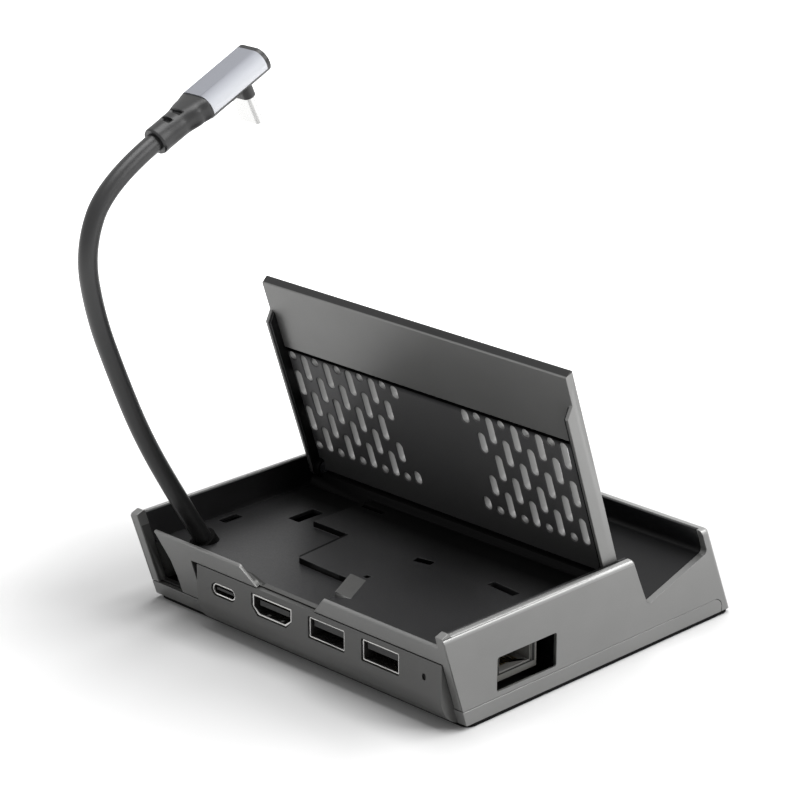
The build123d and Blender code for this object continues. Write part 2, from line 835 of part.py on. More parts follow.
# Lamp guide behind the small hole
with BuildPart() as light_pipe:
    with BuildSketch(panel_plane.offset(-0.3)):
        with Locations((-lamp_x, lamp_z)):
            SlotOverall(1.8, 1.2, rotation=90)
    extrude(amount=-6.0)
    with BuildSketch(Plane.XY.offset(board_z)):
        with Locations((lamp_x, panel_y - 5.8)):
            Rectangle(1.2, 1.4)
    extrude(amount=lamp_z - board_z)
light_pipe.part.label = "light_pipe"
export_step(light_pipe.part, "parts/light_pipe.step")

# Network socket, faces the window in the right wall
jack_plane = Plane(origin=(jack_face, jack_y, 0), x_dir=(0, -1, 0), z_dir=(-1, 0, 0))
jack_mid = (jack_low + jack_high) / 2
jack_tall = jack_high - jack_low
jack_sheet = 0.3
plug_way = (jack_width - 2 * jack_frame, 6.8)
way_z = jack_low + jack_frame + plug_way[1] / 2
with BuildPart() as ethernet_shield:
    with BuildSketch(jack_plane):
        with Locations((0, jack_mid)):
            Rectangle(jack_width, jack_tall)
    extrude(amount=-jack_length)
    with BuildSketch(jack_plane.offset(-jack_sheet)):
        with Locations((0, jack_mid)):
            Rectangle(jack_width - 2 * jack_sheet, jack_tall - 2 * jack_sheet)
    extrude(amount=-jack_length + 2 * jack_sheet, mode=Mode.SUBTRACT)
    with BuildSketch(jack_plane):
        with Locations((0, way_z)):
            Rectangle(plug_way[0] + 0.6, plug_way[1] + 0.6)
    extrude(amount=-jack_sheet, mode=Mode.SUBTRACT)
ethernet_shield.part.label = "ethernet_shield"
export_step(ethernet_shield.part, "parts/ethernet_shield.step")

latch_room = 1.0
contact_room = 0.9
with BuildPart() as ethernet_insert:
    with BuildSketch(jack_plane.offset(-jack_sheet - seat_gap)):
        with Locations((0, jack_mid)):
            Rectangle(jack_width - 2 * jack_sheet - 0.1, jack_tall - 2 * jack_sheet - 0.1)
    extrude(amount=-jack_length + 2 * jack_sheet + 2 * seat_gap)
    with BuildSketch(jack_plane.offset(-jack_sheet)):
        with Locations((0, way_z)):
            Rectangle(*plug_way)
        with Locations((0, way_z + plug_way[1] / 2)):
            Rectangle(plug_way[0] / 2, latch_room)
    extrude(amount=-11.0, mode=Mode.SUBTRACT)
    with BuildSketch(jack_plane.offset(-3.0)):
        with Locations((0, way_z - plug_way[1] / 2)):
            with GridLocations(1.02, 1, 8, 1):
                Rectangle(0.5, contact_room)
    extrude(amount=-7.0, mode=Mode.SUBTRACT)
ethernet_insert.part.label = "ethernet_insert"
export_step(ethernet_insert.part, "parts/ethernet_insert.step")

with BuildPart() as ethernet_contacts:
    with BuildSketch(jack_plane.offset(-3.1)):
        with Locations((0, way_z - plug_way[1] / 2 - 0.1)):
            with GridLocations(1.02, 1, 8, 1):
                Rectangle(0.4, 0.5)
    extrude(amount=-6.9)
ethernet_contacts.part.label = "ethernet_contacts"
export_step(ethernet_contacts.part, "parts/ethernet_contacts.step")

# Stand, drawn about the hinge axis with its rear normal and its upward line
lean = radians(stand_lean)
stand_normal = Vector(0, cos(lean), -sin(lean))
stand_side = Plane(origin=(0, hinge_y, hinge_z), x_dir=stand_normal, z_dir=(1, 0, 0))
stand_back = Plane(origin=(0, hinge_y, hinge_z), x_dir=(-1, 0, 0), z_dir=stand_normal)
stand_r = stand_thick / 2
lip_foot = stand_up - lip_length
flange_in = stand_half - flange_wall
grille_half = flange_in - seat_gap
knuckle_in = grille_half - knuckle_width
with BuildPart() as stand_plate:
    with BuildSketch(stand_side):
        with BuildLine():
            Polyline(
                (stand_r, 0),
                (stand_r, lip_foot - stand_r),
                (0, lip_foot),
                (0, stand_up - lip_bevel),
                (-stand_r, stand_up),
                (-stand_r, 0),
            )
            ThreePointArc((-stand_r, 0), (0, -stand_r), (stand_r, 0))
        make_face()
    extrude(amount=stand_half, both=True)
    # Room between the flanges behind the lip
    with BuildSketch(stand_side):
        with BuildLine():
            Polyline(
                (0, grille_top),
                (0, stand_up + 1),
                (stand_r + 1, stand_up + 1),
                (stand_r + 1, grille_top),
                close=True,
            )
        make_face()
    extrude(amount=flange_in, both=True, mode=Mode.SUBTRACT)
    # Window for the slotted panel
    with BuildSketch(stand_side):
        with BuildLine():
            Polyline(
                (-stand_r - 1, -stand_r - 1),
                (-stand_r - 1, grille_top + 0.15),
                (stand_r + 1, grille_top + 0.15),
                (stand_r + 1, -stand_r - 1),
                close=True,
            )
        make_face()
    extrude(amount=flange_in, both=True, mode=Mode.SUBTRACT)
    # Room for the pins
    with BuildSketch(stand_side):
        Circle(pin_diameter / 2 + swing_gap)
    extrude(amount=stand_half + 1, both=True, mode=Mode.SUBTRACT)
    top_corners = stand_plate.edges().filter_by(Axis.X).group_by(Axis.Z)[-1]
    fillet(top_corners, radius=0.5)
stand_plate.part.label = "stand_plate"
export_step(stand_plate.part, "parts/stand_plate.step")

# Slots of the panel, clipped by the band and by the plain disc in its middle
band_mid = (band_low + band_high) / 2
columns_half = int((grille_half - 1.5) / slot_pitch)
slot_shapes = []
for column in range(-columns_half, columns_half + 1):
    across_slot = column * slot_pitch
    shift = 0.0 if column % 2 else slot_row / 2
    disc = sqrt(max(blank_radius**2 - across_slot**2, 0.0))
    for row in range(-2, 3):
        centre = row * slot_row + shift
        low = max(centre - slot_length / 2, band_low - band_mid)
        high = min(centre + slot_length / 2, band_high - band_mid)
        if disc and centre > 0:
            low = max(low, disc)
        if disc and centre < 0:
            high = min(high, -disc)
        if disc and centre == 0:
            high = low
        if high - low > 0.45 * slot_width:
            slot_shapes.append((across_slot, band_mid + (low + high) / 2, high - low))


def slot_outline(length):
    """Corners of an upright slot whose round ends are drawn in three straight strokes."""
    a = min(slot_width, length - 0.3) / 2
    b = length / 2 - a
    side = [(a, b), (a / 2, b + 0.866 * a), (-a / 2, b + 0.866 * a), (-a, b)]
    return side + [(-x, -y) for x, y in side]


# Slotted panel with side walls along the flanges and round knuckles
with BuildPart() as stand_grille:
    with BuildSketch(stand_side):
        with BuildLine():
            Polyline(
                (-stand_r, grille_foot),
                (-stand_r, grille_top),
                (-groove_floor, grille_top),
                (-groove_floor, grille_top - groove_width),
                (-grille_recess, grille_top - groove_width),
                (-grille_recess, grille_foot),
                close=True,
            )
        make_face()
    extrude(amount=grille_half, both=True)
    with BuildSketch(stand_back.offset(-grille_recess)):
        for across_slot, up_slot, length in slot_shapes:
            with Locations((across_slot, up_slot)):
                Polygon(*slot_outline(length), align=None)
    extrude(amount=-stand_thick, mode=Mode.SUBTRACT)
    for side in (1, -1):
        with BuildSketch(stand_side.offset(side * grille_half)):
            with BuildLine():
                Polyline(
                    (-stand_r, 0),
                    (stand_r - 0.4, 0),
                    (stand_r - 0.4, lip_foot - stand_r - 0.3),
                    (seat_gap, lip_foot - 0.75),
                    (seat_gap, grille_top),
                    (-stand_r, grille_top),
                    close=True,
                )
            make_face()
        extrude(amount=-side * grille_side)
        with BuildSketch(stand_side.offset(side * grille_half)):
            Circle(stand_r)
        extrude(amount=-side * knuckle_width)
        with BuildSketch(stand_side.offset(side * grille_half)):
            Circle(sleeve_diameter / 2)
        extrude(amount=-side * knuckle_width, mode=Mode.SUBTRACT)
stand_grille.part.label = "stand_grille"
export_step(stand_grille.part, "parts/stand_grille.step")

# Pins fixed in the side walls and friction sleeves in the knuckles
with BuildPart() as hinge_pins:
    for side in (1, -1):
        with BuildSketch(Plane.YZ.offset(side * (knuckle_in + 0.3))):
            with Locations((hinge_y, hinge_z)):
                Circle(pin_diameter / 2)
        extrude(amount=side * (shell_in + 1.0 - knuckle_in - 0.3))
hinge_pins.part.label = "hinge_pins"
export_step(hinge_pins.part, "parts/hinge_pins.step")

with BuildPart() as hinge_sleeves:
    for side in (1, -1):
        with BuildSketch(Plane.YZ.offset(side * (knuckle_in + 0.1))):
            with Locations((hinge_y, hinge_z)):
                Circle(sleeve_diameter / 2)
                Circle(pin_diameter / 2 + running_fit, mode=Mode.SUBTRACT)
        extrude(amount=side * (knuckle_width - 0.2))
hinge_sleeves.part.label = "hinge_sleeves"
export_step(hinge_sleeves.part, "parts/hinge_sleeves.step")

# Gland in the tray floor
with BuildPart() as cable_gland:
    with BuildSketch(gland_plane.offset(-6)):
        Circle(gland_diameter / 2 + 1.4)
    extrude(amount=8)
    split(bisect_by=Plane.XY.offset(under_z), keep=Keep.BOTTOM)
    with BuildSketch(gland_plane.offset(-6)):
        Circle(gland_diameter / 2)
    extrude(amount=6)
cable_gland.part.label = "cable_gland"
export_step(cable_gland.part, "parts/cable_gland.step")

# Lead from the gland to the boot of the plug, in one upright plane
plug_axis = (0, -cos(radians(plug_rise)), sin(radians(plug_rise)))
boot_y = gland_y + 13.2
boot_z = gland_z + 114.2
route = [
    (gland_y, gland_z),
    (gland_y + 8.9, gland_z + 14.5),
    (gland_y + 20.2, gland_z + 34.6),
    (gland_y + 28.0, gland_z + 53.4),
    (gland_y + 35.0, gland_z + 72.4),
    (gland_y + 37.7, gland_z + 90.7),
    (boot_y - 18.2 * plug_axis[1], boot_z - 18.2 * plug_axis[2]),
    (boot_y, boot_z),
]
cable_sides = 12
cable_corner = cable_diameter / 2 * sqrt(2 * pi / cable_sides / sin(2 * pi / cable_sides))
cable_radii = []
for before, here, after in zip(route, route[1:], route[2:]):
    heading_in = atan2(here[1] - before[1], here[0] - before[0])
    heading_out = atan2(after[1] - here[1], after[0] - here[0])
    short_run = min(hypot(here[0] - before[0], here[1] - before[1]), hypot(after[0] - here[0], after[1] - here[1]))
    cable_radii.append(0.49 * short_run / tan(abs(heading_out - heading_in) / 2))
with BuildPart() as cable:
    with BuildLine() as cable_line:
        FilletPolyline(*[(cable_x, y, z) for y, z in route], radius=cable_radii)
    with BuildSketch(gland_plane):
        RegularPolygon(cable_corner, cable_sides)
    sweep(path=cable_line.line)
cable.part.label = "cable"
export_step(cable.part, "parts/cable.step")
cable_length = cable_line.wires()[0].length
section = cable_sides / 2 * cable_corner**2 * sin(2 * pi / cable_sides)
print("cable radii", [round(r, 1) for r in cable_radii], "length", round(cable_length, 1))
print("cable volume ratio", round(cable.part.volume / (section * cable_length), 4))

# Plug, drawn along its own axis from the cable end of the boot
plug_start = Plane(origin=(cable_x, boot_y, boot_z), x_dir=(1, 0, 0), z_dir=plug_axis)
boot_collar = 2.6


def boot_outline(wide, tall, power):
    """Twelve corners of a rounded section, from a circle (power 1) to a fuller oblong."""
    corners = []
    for step in range(12):
        turn = 2 * pi * step / 12 + pi / 12
        c, s = cos(turn), sin(turn)
        corners.append((wide / 2 * abs(c) ** power * (1 if c > 0 else -1), tall / 2 * abs(s) ** power * (1 if s > 0 else -1)))
    return corners


with BuildPart() as plug_boot:
    for along, wide, tall, power in (
        (0.0, boot_diameter, boot_diameter, 1.0),
        (boot_collar, boot_diameter, boot_diameter * 0.97, 1.0),
        (boot_length * 0.5, boot_diameter * 1.08, boot_diameter * 0.92, 0.9),
        (boot_length * 0.8, plug_width - 1.6, plug_height - 0.4, 0.7),
        (boot_length, plug_width - 0.5, plug_height - 0.5, 0.6),
    ):
        with BuildSketch(plug_start.offset(along)):
            Polygon(*boot_outline(wide, tall, power), align=None)
    loft(ruled=True)
plug_boot.part.label = "plug_boot"
export_step(plug_boot.part, "parts/plug_boot.step")

sleeve_start = plug_start.offset(boot_length)
sleeve_wall = 0.6
strip_z = -plug_height / 2 + 2.0
cap_length = 1.3
plug_round = plug_height / 2 - 0.15
with BuildPart() as plug_sleeve:
    with BuildSketch(sleeve_start):
        RectangleRounded(plug_width, plug_height, plug_round)
        RectangleRounded(
            plug_width - 2 * sleeve_wall,
            plug_height - 2 * sleeve_wall,
            plug_round - sleeve_wall,
            mode=Mode.SUBTRACT,
        )
        with Locations((0, strip_z - 5)):
            Rectangle(plug_width + 2, 10, mode=Mode.SUBTRACT)
    extrude(amount=plug_length - cap_length)
plug_sleeve.part.label = "plug_sleeve"
export_step(plug_sleeve.part, "parts/plug_sleeve.step")

shell_along = boot_length + 13.9
nose = Plane(
    origin=plug_start.from_local_coords(Vector(0, -plug_height / 2, shell_along)),
    x_dir=(1, 0, 0),
    z_dir=(0, -sin(radians(plug_rise)), -cos(radians(plug_rise))),
)
with BuildPart() as plug_core:
    with BuildSketch(sleeve_start):
        RectangleRounded(plug_width - 2 * sleeve_wall, plug_height - 2 * sleeve_wall, plug_round - sleeve_wall)
    extrude(amount=plug_length)
    with BuildSketch(sleeve_start):
        RectangleRounded(plug_width, plug_height, plug_round)
        with Locations((0, strip_z - 5)):
            Rectangle(plug_width + 2, 10, mode=Mode.INTERSECT)
    extrude(amount=plug_length)
    with BuildSketch(sleeve_start.offset(plug_length - cap_length)):
        RectangleRounded(plug_width, plug_height, plug_round)
    extrude(amount=cap_length)
    with BuildSketch(nose.offset(-1)):
        SlotOverall(9.6, 3.8)
    extrude(amount=collar_tall + 1)
plug_core.part.label = "plug_core"
export_step(plug_core.part, "parts/plug_core.step")

with BuildPart() as plug_shell:
    with BuildSketch(nose.offset(collar_tall)):
        SlotOverall(8.25, 2.4)
    extrude(amount=nose_length)
    with BuildSketch(nose.offset(collar_tall)):
        SlotOverall(7.65, 1.8)
    extrude(amount=nose_length, mode=Mode.SUBTRACT)
plug_shell.part.label = "plug_shell"
export_step(plug_shell.part, "parts/plug_shell.step")

with BuildPart() as plug_insert:
    with BuildSketch(nose.offset(collar_tall)):
        SlotOverall(7.6, 1.75)
    extrude(amount=2.0)
    with BuildSketch(nose.offset(collar_tall)):
        with Locations((0, 0.7), (0, -0.7)):
            Rectangle(5.6, 0.3)
    extrude(amount=nose_length - 0.4)
plug_insert.part.label = "plug_insert"
export_step(plug_insert.part, "parts/plug_insert.step")
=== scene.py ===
"""Looks of a handheld console dock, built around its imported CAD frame."""

import json
import logging
import math
from dataclasses import dataclass, fields
from enum import Enum
from typing import Any, Sequence

import bmesh
import bpy
from mathutils import Matrix, Vector


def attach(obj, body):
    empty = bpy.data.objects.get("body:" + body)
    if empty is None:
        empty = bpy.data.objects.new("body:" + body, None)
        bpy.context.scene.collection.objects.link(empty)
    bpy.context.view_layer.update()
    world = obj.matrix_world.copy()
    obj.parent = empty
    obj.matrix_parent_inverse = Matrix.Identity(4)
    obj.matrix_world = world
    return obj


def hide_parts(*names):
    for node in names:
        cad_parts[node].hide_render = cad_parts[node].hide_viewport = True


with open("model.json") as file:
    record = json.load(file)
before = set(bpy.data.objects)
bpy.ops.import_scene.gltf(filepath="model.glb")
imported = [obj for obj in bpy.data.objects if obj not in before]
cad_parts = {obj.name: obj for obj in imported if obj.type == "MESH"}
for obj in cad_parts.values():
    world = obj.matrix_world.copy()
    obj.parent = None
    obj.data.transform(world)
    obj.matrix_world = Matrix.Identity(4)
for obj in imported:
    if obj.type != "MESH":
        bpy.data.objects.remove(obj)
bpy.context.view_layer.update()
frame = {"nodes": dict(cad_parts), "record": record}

MM = 0.001
LOG = logging.getLogger("console_dock")
# Middle range of a noise, which most of a surface lies in
NOISE_RANGE = {"From Min": 0.3, "From Max": 0.7}
Form = bmesh.types.BMesh
Materials = dict[str, bpy.types.Material]
Node = bpy.types.Node
Piece = bpy.types.Object
Place = tuple[float, float, float]
Socket = bpy.types.NodeSocket
Tree = bpy.types.NodeTree


class Body(str, Enum):
    """CAD bodies that pieces ride on."""

    BASE = "base"
    STAND = "stand"


def linear(colour: str) -> tuple[float, float, float, float]:
    """Turns an sRGB hex value into a linear colour.

    Args:
        colour: Hex value such as "#8a8a88".

    Returns:
        Linear red, green, blue and an alpha of 1.
    """
    parts = [int(colour[i : i + 2], 16) / 255 for i in (1, 3, 5)]
    curve = [c / 12.92 if c <= 0.04045 else ((c + 0.055) / 1.055) ** 2.4 for c in parts]
    return curve[0], curve[1], curve[2], 1.0


def add_node(tree: Tree, kind: str, sockets: dict | None = None, **settings: Any) -> Node:
    """Adds one node with its settings and links.

    Args:
        tree: Node tree that gets the node.
        kind: Blender's node type name.
        sockets: Input name or index to a value, or to what it links from: an output, a node, which stands for its
            first output, or a list of them.
        settings: Attributes of the node.

    Returns:
        The new node.
    """
    node = tree.nodes.new(kind)
    for name, value in settings.items():
        setattr(node, name, value)
    for key, value in (sockets or {}).items():
        for source in value if isinstance(value, list) else [value]:
            if isinstance(source, Node):
                source = source.outputs[0]
            if isinstance(source, Socket):
                tree.links.new(source, node.inputs[key])
            else:
                node.inputs[key].default_value = source
    return node


def new_material(name: str) -> tuple[bpy.types.Material, Tree]:
    """Makes an empty material.

    Args:
        name: Name of the real material and how it was made.

    Returns:
        The material and its node tree.
    """
    material = bpy.data.materials.new(name)
    material.use_nodes = True
    material.node_tree.nodes.clear()
    return material, material.node_tree


def grain(tree: Tree, size_mm: float) -> Socket:
    """Noise on Object coordinates whose blobs are about size_mm across.

    Args:
        tree: Node tree that gets the nodes.
        size_mm: Size of one blob.

    Returns:
        The noise's factor output.
    """
    place = add_node(tree, "ShaderNodeTexCoord").outputs["Object"]
    look = {"Vector": place, "Scale": 1 / (size_mm * MM), "Detail": 3.0, "Roughness": 0.55}
    return add_node(tree, "ShaderNodeTexNoise", look).outputs["Fac"]


def roughened(tree: Tree, marks: Socket, middle: float, spread: float, depth_mm: float) -> dict[str, Node]:
    """Lets fine marks change the roughness and the relief of a surface.

    Args:
        tree: Node tree of the material.
        marks: Noise of the marks.
        middle: Middle of the roughness.
        spread: How far the roughness goes to either side.
        depth_mm: Depth of the marks.

    Returns:
        Nodes for the shader's Roughness and Normal.
    """
    ends = {**NOISE_RANGE, "To Min": middle - spread, "To Max": middle + spread}
    return {
        "Roughness": add_node(tree, "ShaderNodeMapRange", {"Value": marks, **ends}),
        "Normal": add_node(tree, "ShaderNodeBump", {"Height": marks, "Strength": 1.0, "Distance": depth_mm * MM}),
    }


@dataclass(frozen=True)
class Slab:
    """Part of a piece beyond a plane, where another tone begins."""

    along: Place
    start_mm: float
    fade_mm: float
    dark: str = "#000000"
    pale: str = "#000000"
    gloss: float = 1.0
    within: "Slab | None" = None

    def mask(self, tree: Tree) -> Socket:
        """Builds the zone's mask.

        Args:
            tree: Node tree of the material.

        Returns:
            An output that is 1 beyond the plane and inside the other slab.
        """
        place = add_node(tree, "ShaderNodeTexCoord").outputs["Object"]
        reach = add_node(tree, "ShaderNodeVectorMath", {0: place, 1: self.along}, operation="DOT_PRODUCT")
        ends = {"From Min": self.start_mm * MM, "From Max": (self.start_mm + self.fade_mm) * MM}
        result = add_node(tree, "ShaderNodeMapRange", {"Value": reach.outputs["Value"], **ends})
        if self.within is not None:
            both = {0: result, 1: self.within.mask(tree)}
            result = add_node(tree, "ShaderNodeMath", both, operation="MULTIPLY")
        return result.outputs[0]


@dataclass(frozen=True)
class Inside:
    """Part of a piece inside a box, such as painted shade in a hollow."""

    low_mm: Place
    high_mm: Place
    dark: str
    pale: str
    gloss: float = 1.0

    def mask(self, tree: Tree) -> Socket:
        """Builds the zone's mask.

        Args:
            tree: Node tree of the material.

        Returns:
            An output that is 1 inside the box.
        """
        low, high = Vector(self.low_mm) * MM, Vector(self.high_mm) * MM
        place = add_node(tree, "ShaderNodeTexCoord").outputs["Object"]
        offset = add_node(tree, "ShaderNodeVectorMath", {0: place, 1: (low + high) / 2}, operation="SUBTRACT")
        apart = add_node(tree, "ShaderNodeVectorMath", {0: offset}, operation="ABSOLUTE")
        result: Any = 1.0
        for axis, room in zip(add_node(tree, "ShaderNodeSeparateXYZ", {0: apart}).outputs, (high - low) / 2):
            within = add_node(tree, "ShaderNodeMath", {0: axis, 1: room}, operation="LESS_THAN")
            result = add_node(tree, "ShaderNodeMath", {0: within, 1: result}, operation="MULTIPLY")
        return result.outputs[0]


@dataclass(frozen=True)
class Stripe:
    """Narrow stripe between two places of a level face, such as a painted shadow along the foot of a step."""

    start_mm: tuple[float, float]
    end_mm: tuple[float, float]
    half_mm: float
    dark: str
    pale: str
    gloss: float = 1.0

    def mask(self, tree: Tree) -> Socket:
        """Builds the zone's mask.

        Args:
            tree: Node tree of the material.

        Returns:
            An output that is 1 on the stripe.
        """
        start, end = (Vector((*place, 0.0)) * MM for place in (self.start_mm, self.end_mm))
        along = end - start
        place = add_node(tree, "ShaderNodeTexCoord").outputs["Object"]
        flat = add_node(tree, "ShaderNodeVectorMath", {0: place, 1: (1, 1, 0)}, operation="MULTIPLY")
        offset = add_node(tree, "ShaderNodeVectorMath", {0: flat, 1: start}, operation="SUBTRACT")
        unit = along / along.length_squared
        reach = add_node(tree, "ShaderNodeVectorMath", {0: offset, 1: unit}, operation="DOT_PRODUCT")
        share = add_node(tree, "ShaderNodeMapRange", {"Value": reach.outputs["Value"]})
        nearest = add_node(tree, "ShaderNodeVectorMath", {0: along, "Scale": share}, operation="SCALE")
        away = add_node(tree, "ShaderNodeVectorMath", {0: offset, 1: nearest}, operation="DISTANCE")
        sides = {0: away.outputs["Value"], 1: self.half_mm * MM}
        return add_node(tree, "ShaderNodeMath", sides, operation="LESS_THAN").outputs[0]


Zone = Slab | Inside | Stripe


def zoned(tree: Tree, pattern: Socket, colours: tuple[str, str], zones: Sequence[Zone]) -> Socket:
    """Tints a noise between two colours, with other colours in some zones.

    Args:
        tree: Node tree of the material.
        pattern: Noise that blends the dark and the pale colour.
        colours: Dark and pale colour outside the zones.
        zones: Zones with colours of their own, the last one on top.

    Returns:
        The colour output.
    """
    share = add_node(tree, "ShaderNodeMapRange", {"Value": pattern, **NOISE_RANGE})
    colour = None
    for zone, (dark, pale) in ((None, colours), *((zone, (zone.dark, zone.pale)) for zone in zones)):
        # Inputs 6 and 7 of a Mix node are its two colours, and output 2 is their mix
        blend = {"Factor": share, 6: linear(dark), 7: linear(pale)}
        tone = add_node(tree, "ShaderNodeMix", blend, data_type="RGBA").outputs[2]
        if zone is not None:
            blend = {"Factor": zone.mask(tree), 6: colour, 7: tone}
            tone = add_node(tree, "ShaderNodeMix", blend, data_type="RGBA").outputs[2]
        colour = tone
    return colour


@dataclass(frozen=True)
class MouldedPlastic:
    """Injection-moulded plastic or rubber with a spark-eroded mould grain.

    The grain breaks the highlight into a soft satin sheen, and slow waves of tone come from the melt's flow. A real
    grain is too fine to show, so it is drawn coarser.
    """

    name: str
    dark: str
    pale: str
    roughness: float
    grain_mm: float = 0.35
    depth_mm: float = 0.006
    specular: float = 0.5
    metallic: float = 0.0
    zones: tuple[Zone, ...] = ()
    wave_mm: float = 28.0
    spread: float = 0.05

    def material(self) -> bpy.types.Material:
        """Builds the material.

        Returns:
            The new material.
        """
        material, tree = new_material(self.name)
        gloss: Any = self.specular
        for zone in self.zones:
            if zone.gloss < 1:
                ends = {"To Min": gloss, "To Max": self.specular * zone.gloss}
                gloss = add_node(tree, "ShaderNodeMapRange", {"Value": zone.mask(tree), **ends})
        look = {
            "Base Color": zoned(tree, grain(tree, self.wave_mm), (self.dark, self.pale), self.zones),
            "Specular IOR Level": gloss,
            "Metallic": self.metallic,
            **roughened(tree, grain(tree, self.grain_mm), self.roughness, self.spread, self.depth_mm),
        }
        shader = add_node(tree, "ShaderNodeBsdfPrincipled", look)
        add_node(tree, "ShaderNodeOutputMaterial", {"Surface": shader})
        return material


@dataclass(frozen=True)
class SheetMetal:
    """Plated or anodised metal whose rolling or blasting leaves fine marks.

    The marks tint the metal a little, and its roughness changes from mark to mark. Real marks are too fine to show,
    so they are drawn coarser.
    """

    name: str
    dark: str
    pale: str
    roughness: float
    mark_mm: float = 0.3
    depth_mm: float = 0.003
    metallic: float = 1.0
    zones: tuple[Zone, ...] = ()
    spread: float = 0.06

    def material(self) -> bpy.types.Material:
        """Builds the material.

        Returns:
            The new material.
        """
        material, tree = new_material(self.name)
        marks = grain(tree, self.mark_mm)
        look = {
            "Base Color": zoned(tree, marks, (self.dark, self.pale), self.zones),
            "Metallic": self.metallic,
            **roughened(tree, marks, self.roughness, self.spread, self.depth_mm),
        }
        shader = add_node(tree, "ShaderNodeBsdfPrincipled", look)
        add_node(tree, "ShaderNodeOutputMaterial", {"Surface": shader})
        return material


@dataclass(frozen=True)
class Tilt:
    """The stand's own axes about its hinge: across, up the plate and out of its rear face."""

    hinge_y: float = -10.2025
    hinge_z: float = 24.1
    lean_deg: float = 18.7

    @property
    def rear(self) -> Place:
        """Direction out of the plate's rear face."""
        return 0.0, math.cos(math.radians(self.lean_deg)), -math.sin(math.radians(self.lean_deg))

    @property
    def up(self) -> Place:
        """Direction up the plate."""
        return 0.0, math.sin(math.radians(self.lean_deg)), math.cos(math.radians(self.lean_deg))

    def level(self, axis: Place, offset: float) -> float:
        """Distance from the frame's origin along an axis to a plane given from the hinge, in millimetres."""
        return axis[1] * self.hinge_y + axis[2] * self.hinge_z + offset

    def place(self) -> Matrix:
        """Works out where the stand's axes lie.

        Returns:
            Matrix from the stand's axes in millimetres to the frame in metres.
        """
        matrix = Matrix(((-1, 0, 0), self.up, self.rear)).transposed().to_4x4()
        matrix.translation = Vector((0, self.hinge_y, self.hinge_z))
        return Matrix.Scale(MM, 4) @ matrix


TILT = Tilt()
# Rear face of the slotted panel
PANEL_REAR = Slab(TILT.rear, TILT.level(TILT.rear, -0.82), 0.05, "#4a4a4b", "#505050")
HOUSING_GREY = ("#7c7c7b", "#818180")


def satin_grey(name: str, *zones: Zone) -> MouldedPlastic:
    """The housing's painted satin grey, with the zones of one piece."""
    return MouldedPlastic(name, *HOUSING_GREY, 0.36, metallic=0.5, zones=zones)


